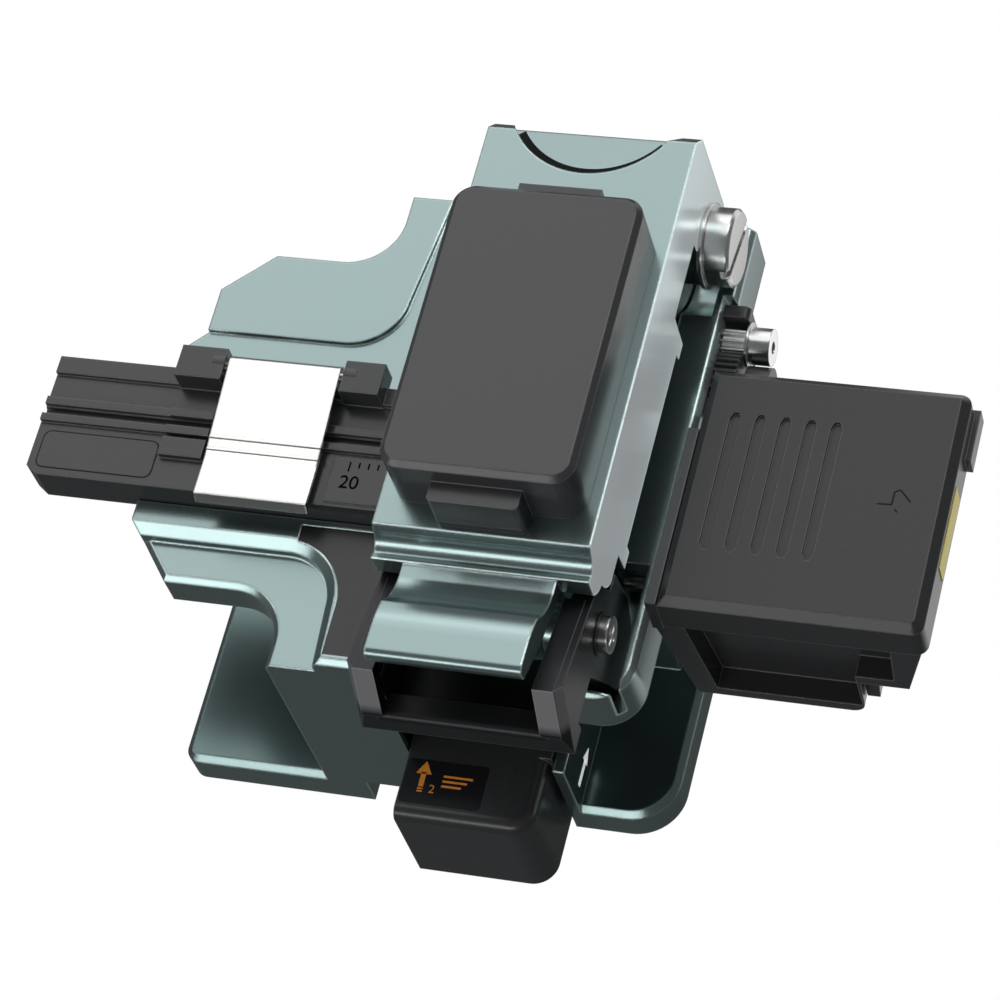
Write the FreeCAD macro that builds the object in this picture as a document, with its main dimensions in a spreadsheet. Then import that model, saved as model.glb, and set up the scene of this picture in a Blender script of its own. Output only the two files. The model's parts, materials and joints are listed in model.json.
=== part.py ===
import FreeCAD
import Part
import Sketcher
import math
import os
import re

# Fibre cleaver, millimetres.
# x = 0 is the plane of the blade wheel, +x points at the scrap bin.
# y = 0 is the line of the fibre, +y points at the hinge of the clamp arm.
# z = 0 is the face that the cleaver stands on.

doc = FreeCAD.newDocument("fibre_cleaver")
sheet = doc.addObject("Spreadsheet::Sheet", "dim")

SIZES = {
    # base: slab, webs and deck
    "slab_left": -41.0,
    "slab_front": -23.2,
    "slab_rear": 31.2,
    "foot_reveal": 0.2,
    "slab_thick": 4.1,
    "slab_edge": 0.7,
    "slab_corner": 5.0,
    "slab_left_corner": 1.6,
    "web_left": -24.9,
    "web_thick": 4.5,
    "channel_right": 1.6,
    "notch_depth": 14.0,
    "web_right": 9.6,
    "web_right_front": -6.0,
    "rear_wall_front": 24.0,
    "guide_wall_thick": 1.2,
    "guide_wall_height": 8.5,
    "deck_height": 24.8,
    "deck_thick": 6.3,
    "step_drop": 2.1,
    "rear_raise": 0.5,
    "deck_overhang": 2.1,
    "deck_left": -42.5,
    "deck_edge": 0.6,
    "deck_step_edge": 1.1,
    "deck_corner": 4.0,
    "wide_extra": 1.0,
    "wide_front": 22.5,
    "strip_front": -10.9,
    "mid_front": -15.05,
    "sweep_radius": 5.6,
    "upper_corner_x": -20.0,
    "rear_step": 13.0,
    "rear_left_x": -40.7,
    "rear_left_y": 22.7,
    "rear_notch_x": -22.9,
    "pad_left": -34.0,
    "pad_right": 8.0,
    "pad_front": -7.0,
    "pad_rear": 26.0,
    "pad_depth": 0.8,
    # printed plate on the deck
    "inlay_thick": 0.3,
    "inlay_right": -12.4,
    "inlay_margin": 1.5,
    # fibre holder and its spring-steel clip
    "holder_left": -54.2,
    "holder_right": -8.8,
    "holder_front": -7.4,
    "holder_rear": 6.35,
    "holder_gap": 0.15,
    "channel_depth": 1.25,
    "holder_thick": 4.75,
    "groove_radius": 0.45,
    "ridge_height": 0.5,
    "clip_left": -35.0,
    "clip_right": -23.0,
    "clip_thick": 0.5,
    "clip_pin_radius": 0.6,
    "clip_pin_y": 6.5,
    "clip_pin_rise": 1.0,
    "clip_block_front": 4.3,
    "clip_block_rear": 7.9,
    "clip_block_rise": 2.1,
    # clamp pads and blade wheel
    "blade_radius": 8.0,
    "blade_thick": 1.2,
    "blade_bore": 2.5,
    "blade_reach": 0.05,
    "blade_home": -6.0,
    "blade_stroke": 12.0,
    "slot_left": -4.4,
    "slot_right": 2.0,
    "clamp_width": 3.6,
    "clamp_half_length": 4.5,
    "pad_thick": 0.7,
    "pad_gap": 0.3,
    "post_half": 1.6,
    "magnet_half": 1.2,
    "magnet_width": 1.1,
    "magnet_height": 2.0,
    # clamp arm
    "arm_half": 10.8,
    "arm_gap": 2.2,
    "arm_thick": 10.9,
    "arm_foot_drop": 1.1,
    "arm_front": -15.9,
    "arm_rear": 30.1,
    "hinge_y": 26.1,
    "hinge_rise": 4.2,
    "pin_radius": 2.0,
    "pin_play": 0.05,
    "lug_radius": 4.2,
    "lug_left": -3.0,
    "lug_right": 6.2,
    "ear_gap": 0.2,
    "left_ear_inner": -6.4,
    "right_ear_inner": 8.2,
    "relief_radius": 7.0,
    "hinge_head_radius": 4.0,
    "hinge_head_thick": 2.7,
    "hinge_washer_radius": 4.4,
    "hinge_washer_thick": 0.45,
    "lever_half": 7.65,
    "lever_tip": -30.2,
    "lever_rise": 1.0,
    "scoop_radius": 9.2,
    "scoop_y": 34.2,
    "scoop_depth": 3.1,
    "scoop_slope": 15.3,
    # plastic cover on the arm
    "cover_side": 1.2,
    "cover_front": -13.3,
    "cover_rear": 18.7,
    "cover_height": 7.0,
    "cover_wall": 1.2,
    "cover_corner": 2.2,
    "cover_edge": 0.6,
    "clip_tab_half": 4.5,
    "clip_tab_reach": 2.1,
    "clip_tab_height": 4.6,
    # latch frame at the front of the arm
    "latch_side": 0.2,
    "latch_wall": 2.2,
    "latch_y": -19.55,
    "latch_drop": 10.35,
    "latch_bore": 1.05,
    "latch_pin": 0.95,
    "latch_head_radius": 1.8,
    "latch_head_thick": 1.0,
    "latch_flange_radius": 2.1,
    "latch_flange_thick": 0.12,
    "latch_lug_thick": 2.5,
    "latch_lug_radius": 2.4,
    "latch_play": 0.3,
    "ear_slot_front": -22.6,
    "ear_slot_rear": -8.4,
    "ear_slot_depth": 4.7,
    # carriage, rail and handle
    "rail_x": -9.0,
    "rail_width": 3.0,
    "rail_height": 2.6,
    "rail_front": -8.8,
    "rail_rear": 19.5,
    "runner_width": 8.0,
    "runner_front": -7.5,
    "runner_length": 13.0,
    "runner_height": 4.3,
    "runner_gap": 0.1,
    "carriage_top": 13.4,
    "carriage_left": -14.0,
    "carriage_rear": 8.0,
    "handle_joint": -12.0,
    "handle_left": -13.4,
    "handle_right": 1.1,
    "handle_front": -30.5,
    "handle_back": -22.2,
    "handle_bottom": 0.9,
    "handle_top": 13.5,
    "handle_round": 1.3,
    "handle_corner": 2.6,
    "handle_step": 15.7,
    "handle_strip": 3.6,
    "handle_slot": 2.6,
    "handle_block_front": -18.6,
    # gear sector on the arm, spindle and bin gear
    "gear_module": 0.26,
    "sector_teeth": 64.0,
    "pinion_teeth": 10.0,
    "bin_gear_teeth": 24.0,
    "pressure_angle": 25.0,
    "addendum": 0.8,
    "dedendum": 1.05,
    "backlash": 0.14,
    "mesh_turn": 37.5,
    "bin_mesh_turn": 17.2,
    "gear_relief": 0.7,
    "spindle_radius": 0.7,
    "spindle_play": 0.05,
    "bush_radius": 1.15,
    "flange_radius": 2.4,
    "flange_thick": 0.25,
    "hub_radius": 1.9,
    "hub_length": 2.2,
    "output_width": 2.75,
    "bin_gear_width": 2.3,
    "bracket_radius": 2.3,
    "gear_pin_radius": 0.8,
    "guard_front": 20.2,
    "guard_rear": 21.6,
    "guard_reach": 2.7,
    # scrap bin
    "bin_gap": 1.0,
    "bin_front": -15.4,
    "bin_rear": 9.9,
    "bin_width": 26.4,
    "bin_depth": 14.0,
    "bin_wall": 1.2,
    "bin_recess": 2.4,
    "bin_step": 6.0,
    "lid_rise": 6.9,
    "lid_height": 4.8,
    "lid_play": 0.2,
    "lid_width": 25.7,
    "lid_front": -15.9,
    "lid_rear": 10.5,
    "lid_wall": 1.2,
    "lid_round": 1.2,
    "lid_tab_front": 4.4,
    "lid_tab_drop": 2.8,
    "lid_groove_pitch": 2.51,
    "lid_groove_inset": 3.42,
    "lid_groove_front": -9.7,
    "lid_groove_rear": 5.6,
    "lid_groove_radius": 0.55,
    "lid_groove_depth": 0.4,
}

# places and heights that follow from the sizes above
DERIVED = {
    "slab_bottom": "foot_reveal",
    "deck_rear": "slab_rear + 0.2",
    "slab_top": "foot_reveal + slab_thick",
    "channel_left": "web_left + web_thick",
    "guide_wall_right": "channel_right + guide_wall_thick",
    "guide_wall_top": "slab_top + guide_wall_height",
    "deck_top": "deck_height + deck_thick",
    "deck_mid": "deck_top - step_drop",
    "deck_raised": "deck_top + rear_raise",
    "deck_right": "arm_half + deck_overhang",
    "slab_right": "deck_right - 0.5",
    "wide_right": "deck_right + wide_extra",
    "holder_bottom": "deck_top - channel_depth",
    "holder_top": "holder_bottom + holder_thick",
    "fibre_height": "holder_top - 0.2",
    "clip_pin_z": "holder_top + clip_pin_rise",
    "blade_z": "fibre_height - blade_reach - blade_radius",
    "arm_under": "fibre_height + arm_gap",
    "arm_foot": "arm_under - arm_foot_drop",
    "arm_top": "arm_under + arm_thick",
    "clamp_seat": "arm_under + 6.4",
    "hinge_z": "deck_top + hinge_rise",
    "lever_top": "arm_top + lever_rise",
    "cover_half": "arm_half - cover_side",
    "cover_top": "arm_top + cover_height",
    "latch_half": "arm_half - latch_side",
    "latch_inner": "latch_half - latch_wall",
    "latch_lug_outer": "latch_inner - latch_play",
    "latch_lug_inner": "latch_lug_outer - latch_lug_thick",
    "latch_z": "arm_top - latch_drop",
    "ear_slot_inner": "latch_inner - 0.2",
    "ear_slot_outer": "latch_half + 1.1",
    "ear_slot_floor": "deck_top - ear_slot_depth",
    "runner_top": "slab_top + runner_height",
    "handle_step_left": "handle_left + handle_strip",
    "sector_radius": "gear_module * sector_teeth / 2",
    "pinion_radius": "gear_module * pinion_teeth / 2",
    "bin_gear_radius": "gear_module * bin_gear_teeth / 2",
    "spindle_y": "hinge_y - (sector_radius + pinion_radius) * cos(mesh_turn)",
    "spindle_z": "hinge_z - (sector_radius + pinion_radius) * sin(mesh_turn)",
    "bin_gear_y": "spindle_y - (pinion_radius + bin_gear_radius) * cos(bin_mesh_turn)",
    "bin_gear_z": "spindle_z - (pinion_radius + bin_gear_radius) * sin(bin_mesh_turn)",
    "output_left": "deck_right + 0.1",
    "output_right": "output_left + output_width",
    "hub_right": "output_right + flange_thick + hub_length",
    "bin_left": "deck_right + bin_gap",
    "bin_right": "bin_left + bin_width",
    "lid_top": "deck_top + lid_rise",
    "bin_rim": "lid_top - lid_height - lid_play",
    "bin_floor": "bin_rim - bin_depth",
    "lid_left": "bin_left + 1.3",
    "lug_near": "output_right + flange_thick + 0.2",
    "lug_far": "lug_near + 2.5",
    "lid_right": "lid_left + lid_width",
    "lid_groove_first": "lid_left + lid_groove_inset",
}

for row, (alias, size) in enumerate(SIZES.items(), start=1):
    sheet.set("A%d" % row, alias)
    sheet.set("B%d" % row, str(size))
    sheet.setAlias("B%d" % row, alias)
doc.recompute()

WORD = re.compile(r"[a-z][a-z_]*")
PLANES = {"xy": "XY_Plane", "xz": "XZ_Plane", "yz": "YZ_Plane"}
nodes = []


def bound(text):
    """Turn words such as deck_top into references to the sheet."""
    def refer(match):
        word = match.group(0)
        if word in DERIVED:
            return "(" + bound(DERIVED[word]) + ")"
        return "dim." + word if word in SIZES else word
    return WORD.sub(refer, str(text))


def number(text):
    return float(sheet.evalExpression(bound(text)))


def bind(target, path, text):
    target.setExpression(path, bound(text))


def is_plain(text):
    return not WORD.search(str(text))


class Piece:
    """One physical piece: a body with sketches and features bound to the sheet."""

    def __init__(self, label):
        self.label = label
        self.body = doc.addObject("PartDesign::Body", label)
        self.body.Label = label
        self.count = 0
        nodes.append(self.body)

    def next_name(self, kind):
        self.count += 1
        return "%s_%s_%d" % (self.label, kind, self.count)

    def sketch(self, plane, offset, outline, circles, centre=None):
        sketch = self.body.newObject("Sketcher::SketchObject", self.next_name("sketch"))
        for feature in self.body.Origin.OriginFeatures:
            if feature.Role == PLANES[plane]:
                sketch.AttachmentSupport = [(feature, "")]
        sketch.MapMode = "FlatFace"
        bind(sketch, "AttachmentOffset.Base.z", offset)
        if centre:
            bind(sketch, "AttachmentOffset.Base.x", centre[0])
            bind(sketch, "AttachmentOffset.Base.y", centre[1])
        if outline:
            draw_outline(sketch, outline)
        for circle in circles:
            draw_circle(sketch, *circle)
        return sketch

    def pad(self, plane, low, high, outline=None, circles=()):
        offset = "-(%s)" % high if plane == "xz" else low
        profile = self.sketch(plane, offset, outline, circles)
        pad = self.body.newObject("PartDesign::Pad", self.next_name("pad"))
        pad.Profile = profile
        bind(pad, "Length", "(%s) - (%s)" % (high, low))
        return pad

    def pocket(self, plane, low, high, outline=None, circles=()):
        offset = "-(%s)" % low if plane == "xz" else high
        profile = self.sketch(plane, offset, outline, circles)
        pocket = self.body.newObject("PartDesign::Pocket", self.next_name("pocket"))
        pocket.Profile = profile
        bind(pocket, "Length", "(%s) - (%s)" % (high, low))
        return pocket

    def gaps(self, low, high, centre, outline, count, step):
        """Pockets for the gaps between gear teeth, repeated round the gear's centre."""
        profile = self.sketch("yz", high, outline, (), centre)
        pocket = self.body.newObject("PartDesign::Pocket", self.next_name("gap"))
        pocket.Profile = profile
        bind(pocket, "Length", "(%s) - (%s)" % (high, low))
        doc.recompute()
        pattern = self.body.newObject("PartDesign::PolarPattern", self.next_name("gaps"))
        pattern.Originals = [pocket]
        pattern.Axis = (profile, ["N_Axis"])
        pattern.Occurrences = count
        pattern.Angle = 360.0 if count * step > 359.0 else (count - 1) * step
        self.body.Tip = pattern
        return pattern

    def scoop(self, turn, base_y, base_z, radius, reach):
        """A round pocket above a sloping floor."""
        profile = self.sketch("xy", "0", None, (("0", "0", radius),))
        profile.AttachmentOffset = FreeCAD.Placement(
            FreeCAD.Vector(0, number(base_y), number(base_z)), FreeCAD.Rotation(ALONG_X, number(turn)))
        bind(profile, "AttachmentOffset.Base.y", base_y)
        bind(profile, "AttachmentOffset.Base.z", base_z)
        pocket = self.body.newObject("PartDesign::Pocket", self.next_name("scoop"))
        pocket.Profile = profile
        pocket.Reversed = True
        bind(pocket, "Length", reach)
        return pocket

    def dress(self, kind, size, pick):
        doc.recompute()
        tip = self.body.Tip
        names = []
        for index, edge in enumerate(tip.Shape.Edges, start=1):
            if pick(edge):
                names.append("Edge%d" % index)
        if not names:
            raise RuntimeError("%s: no edge found for the %s" % (self.label, kind))
        feature = self.body.newObject("PartDesign::" + kind, self.next_name(kind.lower()))
        feature.Base = (tip, names)
        bind(feature, "Radius" if kind == "Fillet" else "Size", size)
        return feature

    def fillet(self, radius, pick):
        return self.dress("Fillet", radius, pick)

    def chamfer(self, size, pick):
        return self.dress("Chamfer", size, pick)


def rectangle(x_low, x_high, y_low, y_high):
    return [(x_low, y_low), (x_high, y_low), (x_high, y_high), (x_low, y_high)]


def slot_outline(x_low, x_high, y_low, y_high):
    """A slot with a round end at its low and its high y."""
    radius = "((%s) - (%s)) / 2" % (x_high, x_low)
    middle = "((%s) + (%s)) / 2" % (x_high, x_low)
    near_end = "%s + %s" % (y_low, radius)
    far_end = "%s - %s" % (y_high, radius)
    return [(x_low, near_end), (middle, y_low, radius), (x_high, near_end, radius),
            (x_high, far_end), (middle, y_high, radius), (x_low, far_end, radius)]


def lug_outline(centre_x, centre_y, radius, foot):
    """An upright lug with a round top about its centre."""
    left = "%s - (%s)" % (centre_x, radius)
    right = "%s + (%s)" % (centre_x, radius)
    return [(left, foot), (right, foot), (right, centre_y),
            (centre_x, "%s + (%s)" % (centre_y, radius), radius), (left, centre_y, radius)]


def polar(radius, angle):
    return "(%s) * cos(%s)" % (radius, angle), "(%s) * sin(%s)" % (radius, angle)


def hexagon(centre_x, centre_y, radius):
    corners = [polar(radius, "%d" % angle) for angle in range(0, 360, 60)]
    return [("%s + %s" % (centre_x, x), "%s + %s" % (centre_y, y)) for x, y in corners]


def tooth_gap(pitch, teeth, angle):
    """Outline of one gap between two involute teeth, centred on the angle in degrees."""
    alpha = "pressure_angle"
    root = "(%s - dedendum * gear_module)" % pitch
    tip = "(%s + addendum * gear_module)" % pitch
    ground = "(%s * cos(%s))" % (pitch, alpha)
    lowest = root if number(root) > number(ground) else "(%s * 1.0001)" % ground

    def half(radius):
        """Half the gap's angle at a radius: the pitch less the tooth's own half angle."""
        lean = "acos(%s / %s)" % (ground, radius)
        turn = "(tan(%s) - tan(%s)) * 180 / pi - (%s - %s) / 1deg" % (alpha, lean, alpha + " * 1deg", lean)
        return "(180 / %s - 90 / %s * (1 - backlash) - (%s))" % (teeth, teeth, turn)

    rows = [(root, half(lowest)), (pitch, half(pitch)), (tip, half(tip)), (tip + " * 1.2", half(tip))]
    left = [polar(radius, "%s - %s" % (angle, turn)) for radius, turn in rows]
    right = [polar(radius, "%s + %s" % (angle, turn)) for radius, turn in reversed(rows)]
    return left + right


def arc_between(start, end, radius):
    """The short arc from start to end, to the left of its centre when radius is negative."""
    middle = (start + end) * 0.5
    chord = end - start
    reach = math.sqrt(max(radius * radius - chord.Length ** 2 / 4.0, 0.0))
    side = FreeCAD.Vector(-chord.y, chord.x, 0).normalize()
    centre = middle + side * (reach if radius > 0 else -reach)
    circle = Part.Circle(centre, FreeCAD.Vector(0, 0, 1), abs(radius))
    first, last = (start, end) if radius > 0 else (end, start)
    return Part.ArcOfCircle(circle, circle.parameter(first), circle.parameter(last))


def draw_outline(sketch, outline):
    """Closed outline; a third entry on a point is the signed radius of the arc that ends there."""
    corners = [FreeCAD.Vector(number(p[0]), number(p[1]), 0) for p in outline]
    ends = []
    for index, point in enumerate(outline):
        start = corners[index - 1]
        end = corners[index]
        if len(point) == 3:
            radius = number(point[2])
            piece = sketch.addGeometry(arc_between(start, end, radius), False)
            ends.append((piece, 1, 2) if radius > 0 else (piece, 2, 1))
            size = sketch.addConstraint(Sketcher.Constraint("Radius", piece, abs(radius)))
            bind(sketch, "Constraints[%d]" % size, "abs(%s)" % point[2])
        else:
            piece = sketch.addGeometry(Part.LineSegment(start, end), False)
            ends.append((piece, 1, 2))
    for index, point in enumerate(outline):
        piece, _, finish = ends[index]
        following, begin, _ = ends[(index + 1) % len(ends)]
        sketch.addConstraint(Sketcher.Constraint("Coincident", piece, finish, following, begin))
        for kind, text, size in (("DistanceX", point[0], corners[index].x),
                                 ("DistanceY", point[1], corners[index].y)):
            place = sketch.addConstraint(Sketcher.Constraint(kind, -1, 1, piece, finish, size))
            if not is_plain(text):
                bind(sketch, "Constraints[%d]" % place, text)


def draw_circle(sketch, centre_x, centre_y, radius):
    centre = FreeCAD.Vector(number(centre_x), number(centre_y), 0)
    circle = Part.Circle(centre, FreeCAD.Vector(0, 0, 1), number(radius))
    piece = sketch.addGeometry(circle, False)
    for kind, text, size in (("DistanceX", centre_x, centre.x), ("DistanceY", centre_y, centre.y)):
        place = sketch.addConstraint(Sketcher.Constraint(kind, -1, 1, piece, 3, size))
        if not is_plain(text):
            bind(sketch, "Constraints[%d]" % place, text)
    place = sketch.addConstraint(Sketcher.Constraint("Radius", piece, number(radius)))
    bind(sketch, "Constraints[%d]" % place, radius)


def middle_of(edge):
    return edge.valueAt((edge.FirstParameter + edge.LastParameter) / 2.0)


def near(value, text, slack=0.02):
    return abs(value - number(text)) < slack


def is_along(edge, direction):
    if not isinstance(edge.Curve, Part.Line):
        return False
    run = edge.Vertexes[-1].Point - edge.Vertexes[0].Point
    return abs(abs(run.normalize().dot(direction)) - 1.0) < 1e-4


def is_flat_at(edge, text):
    """True when the whole edge lies at one height."""
    box = edge.BoundBox
    return near(box.ZMin, text) and near(box.ZMax, text)


ALONG_X = FreeCAD.Vector(1, 0, 0)
ALONG_Y = FreeCAD.Vector(0, 1, 0)
ALONG_Z = FreeCAD.Vector(0, 0, 1)


# Base block: one machined piece with a slab, two webs, a rear wall and the deck
base = Piece("base_block")
base.pad("xy", "slab_bottom", "slab_top",
         rectangle("slab_left", "slab_right", "slab_front", "slab_rear"))
base.fillet("slab_corner", lambda e: is_along(e, ALONG_Z) and near(middle_of(e).x, "slab_right"))
base.fillet("slab_left_corner", lambda e: is_along(e, ALONG_Z) and near(middle_of(e).x, "slab_left"))
base.chamfer("slab_edge", lambda e: is_flat_at(e, "slab_top"))
base.pocket("xy", "slab_bottom - 1", "slab_top + 1",
            rectangle("channel_left", "channel_right", "slab_front - 1", "slab_front + notch_depth"))
base.pocket("xy", "slab_bottom", "slab_bottom + pad_depth",
            rectangle("pad_left", "pad_right", "pad_front", "pad_rear"))
base.pad("xy", "slab_top - 1", "deck_height + 1",
         rectangle("web_left", "channel_left", "slab_front", "rear_wall_front + 1"))
base.pad("xy", "slab_top - 1", "deck_height + 1",
         rectangle("web_left", "web_right", "rear_wall_front", "slab_rear"))
base.pad("xy", "slab_top - 1", "deck_height + 1",
         rectangle("channel_right", "web_right", "web_right_front", "rear_wall_front + 1"))
base.pad("xy", "slab_top - 1.2", "guide_wall_top",
         rectangle("channel_right", "guide_wall_right", "slab_front", "web_right_front + 1"))

deck_outline = [
    ("web_left", "slab_front"),
    ("deck_right - deck_corner", "slab_front"),
    ("deck_right", "slab_front + deck_corner", "deck_corner"),
    ("deck_right", "wide_front"),
    ("wide_right", "wide_front"),
    ("wide_right", "deck_rear"),
    ("rear_notch_x", "deck_rear"),
    ("rear_notch_x", "rear_left_y + sweep_radius"),
    ("rear_notch_x - sweep_radius", "rear_left_y", "-sweep_radius"),
    ("rear_left_x + 5", "rear_left_y"),
    ("rear_left_x", "rear_left_y - 4.7"),
    ("rear_left_x", "rear_step"),
    ("deck_left", "rear_step - 1.8"),
    ("deck_left", "strip_front + 1.1"),
    ("deck_left + 4.3", "mid_front"),
    ("web_left - sweep_radius", "mid_front"),
    ("web_left", "mid_front - sweep_radius", "-sweep_radius"),
]
base.pad("xy", "deck_height", "deck_top", deck_outline)
# the front left of the deck lies one step lower, behind a swept edge
base.pocket("xy", "deck_mid", "deck_top + 1", [
    ("deck_left - 2", "strip_front"),
    ("deck_left - 2", "slab_front - 1"),
    ("upper_corner_x + 0.5", "slab_front - 1"),
    ("upper_corner_x", "strip_front - sweep_radius"),
    ("upper_corner_x - sweep_radius", "strip_front", "sweep_radius"),
])
base.chamfer("deck_step_edge", lambda e: is_flat_at(e, "deck_top")
             and middle_of(e).y < number("strip_front") + 0.1
             and number("deck_left") - 0.1 < middle_of(e).x < number("upper_corner_x") + 0.45)
base.chamfer("deck_edge", lambda e: is_flat_at(e, "deck_mid")
             and middle_of(e).y < number("mid_front") + 3.0
             and middle_of(e).x < number("web_left") + 0.1)
# the rear left surface stands a little above the channel's strip
base.pad("xy", "deck_top - 0.2", "deck_raised", [
    ("rear_left_x", "rear_step"),
    ("rear_notch_x - 2.9", "rear_step"),
    ("rear_notch_x + 2.9", "rear_step + 5.7", "5.8"),
    ("rear_notch_x + 4.4", "deck_rear"),
    ("rear_notch_x", "deck_rear"),
    ("rear_notch_x", "rear_left_y + sweep_radius"),
    ("rear_notch_x - sweep_radius", "rear_left_y", "-sweep_radius"),
    ("rear_left_x + 5", "rear_left_y"),
    ("rear_left_x", "rear_left_y - 4.7"),
])
base.chamfer("deck_edge", lambda e: (is_flat_at(e, "deck_top")
             and middle_of(e).x > number("deck_right") - number("deck_corner"))
             or (is_flat_at(e, "deck_top") and near(middle_of(e).y, "slab_front")))
# channel that the fibre holder lies in
base.pocket("xy", "holder_bottom", "deck_raised + 1",
            rectangle("deck_left - 1", "holder_right + holder_gap",
                      "holder_front - holder_gap", "holder_rear + holder_gap"))
# slot for the blade wheel, which rises through the deck
base.pocket("xy", "deck_height - 1", "deck_top + 1",
            rectangle("slot_left", "slot_right", "blade_home - blade_radius - 1.2",
                      "blade_home + blade_stroke + blade_radius + 1.2"))
# recess for the printed plate
base.pocket("xy", "deck_top - inlay_thick", "deck_top + 1", [
    ("upper_corner_x + inlay_margin", "slab_front + 1"),
    ("inlay_right", "slab_front + 1"),
    ("inlay_right", "holder_front - 0.9"),
    ("upper_corner_x - 4.4", "holder_front - 0.9"),
    ("upper_corner_x - 4.4", "strip_front + inlay_margin - 0.6"),
    ("upper_corner_x + inlay_margin", "strip_front - sweep_radius", "-(sweep_radius + inlay_margin)"),
])
# pockets for the ears of the latch frame
for side in ("", "-"):
    x_low, x_high = sorted([side + "ear_slot_inner", side + "ear_slot_outer"], key=number)
    base.pocket("xy", "ear_slot_floor", "deck_top + 1",
                rectangle(x_low, x_high, "ear_slot_front", "ear_slot_rear"))
# lugs that carry the latch frame
for side in ("", "-"):
    edges = sorted([side + "latch_lug_inner", side + "latch_lug_outer"], key=number)
    base.pad("yz", edges[0], edges[1],
             lug_outline("latch_y", "latch_z", "latch_lug_radius", "deck_top - 0.5"))
# posts that the closed arm rests on, each with a magnet in its top
post_places = ("slot_left - 2.2", "slot_right + 3.2")


def square(place, half_x, half_y):
    return rectangle("%s - %s" % (place, half_x), "%s + %s" % (place, half_x),
                     "-10.5 - %s" % half_y, "-10.5 + %s" % half_y)


for place in post_places:
    base.pad("xy", "deck_top - 0.5", "arm_foot - 0.2", square(place, "post_half", "post_half"))
    base.pocket("xy", "arm_foot - 0.2 - magnet_height", "arm_foot",
                square(place, "magnet_width", "magnet_half"))
# relief round the hinge, and the lug that the hinge screw turns in
base.pocket("yz", "-arm_half - 0.4", "arm_half + hinge_washer_thick + 0.4", None,
            (("hinge_y", "hinge_z", "relief_radius"),))
base.pad("yz", "lug_left", "lug_right",
         lug_outline("hinge_y", "hinge_z", "lug_radius", "slab_top + 10"))
base.pocket("yz", "lug_left - 1", "lug_right + 1", None,
            (("hinge_y", "hinge_z", "pin_radius + pin_play"),))
# slot that the gear sector swings in
base.pocket("yz", "lug_right", "right_ear_inner + ear_gap", None,
            (("hinge_y", "hinge_z", "sector_radius + gear_relief"),))
# room for the inner pinion, the bore of the spindle's bush and the spindle's inner bearing
base.pocket("yz", "lug_right", "right_ear_inner + ear_gap", None,
            (("spindle_y", "spindle_z", "pinion_radius + 0.5"),))
base.pocket("yz", "right_ear_inner", "wide_right + 1", None,
            (("spindle_y", "spindle_z", "bush_radius"),))
base.pocket("yz", "lug_right - 1.6", "lug_right + 0.1", None,
            (("spindle_y", "spindle_z", "spindle_radius + spindle_play"),))
# threaded holes for the bin and the latch
bin_screw_places = (("-9", "28"), ("3", "28"))
for y_place, z_place in bin_screw_places:
    base.pocket("yz", "deck_right - 4", "deck_right + 1", None, ((y_place, z_place, "0.8"),))
for side in (-1, 1):
    low, high = ("latch_lug_inner - 1", "latch_lug_outer + 1")
    if side < 0:
        low, high = ("-latch_lug_outer - 1", "-latch_lug_inner + 1")
    base.pocket("yz", low, high, None, (("latch_y", "latch_z", "latch_pin - 0.1"),))
stop_place = ("9.1", "-20.9")
base.pocket("xy", "deck_height - 1", "ear_slot_floor + 0.1", None, ((stop_place[0], stop_place[1], "0.7"),))

# Rubber pad under the slab
foot = Piece("base_pad")
foot.pad("xy", "0", "slab_bottom + pad_depth",
         rectangle("pad_left", "pad_right", "pad_front", "pad_rear"))

# Printed plate in the deck
inlay = Piece("deck_inlay")
inlay.pad("xy", "deck_top - inlay_thick", "deck_top", [
    ("upper_corner_x + inlay_margin", "slab_front + 1"),
    ("inlay_right", "slab_front + 1"),
    ("inlay_right", "holder_front - 0.9"),
    ("upper_corner_x - 4.4", "holder_front - 0.9"),
    ("upper_corner_x - 4.4", "strip_front + inlay_margin - 0.6"),
    ("upper_corner_x + inlay_margin", "strip_front - sweep_radius", "-(sweep_radius + inlay_margin)"),
])

# Fibre holder: a long block with a V groove between two ridges
holder = Piece("fibre_holder")
holder.pad("xy", "holder_bottom", "holder_top - ridge_height", [
    ("holder_left + 1.3", "holder_front"),
    ("holder_right", "holder_front"),
    ("holder_right", "holder_rear"),
    ("holder_left + 2.2", "holder_rear"),
    ("holder_left", "holder_rear - 2.2", "2.2"),
    ("holder_left", "holder_front + 0.9"),
])
for y_low, y_high in (("0.6", "1.5"), ("-1.3", "-0.5"), ("4.4", "holder_rear")):
    holder.pad("xy", "holder_top - ridge_height - 0.1", "holder_top",
               rectangle("holder_left", "holder_right", y_low, y_high))
holder.pad("xy", "holder_top - ridge_height - 0.1", "holder_top - 0.25",
           rectangle("clip_right + 1.2", "holder_right", "-7.0", "-1.9"))
holder.pocket("yz", "holder_left - 1", "holder_right + 1", None,
              (("0", "holder_top - ridge_height", "groove_radius"),))
for x_low, x_high in (("clip_left - 5.4", "clip_left - 0.4"), ("clip_right + 0.4", "clip_right + 4.6")):
    holder.pad("xy", "holder_top - ridge_height", "holder_top + clip_block_rise",
               rectangle(x_low, x_high, "clip_block_front", "clip_block_rear"))
for x_low, x_high in (("clip_left - 1.8", "clip_left - 0.4"), ("clip_right + 0.4", "clip_right + 1.8")):
    holder.pad("yz", x_low, x_high, lug_outline("clip_pin_y", "clip_pin_z", "1.2", "holder_top - 0.6"))
for y_low, y_high in (("0.6", "1.5"), ("-1.4", "-0.5"), ("-4.0", "-1.9")):
    holder.pad("xy", "holder_top - ridge_height - 0.1", "holder_top + 0.25",
               rectangle("clip_left - 5.3", "clip_left - 0.6", y_low, y_high))
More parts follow.
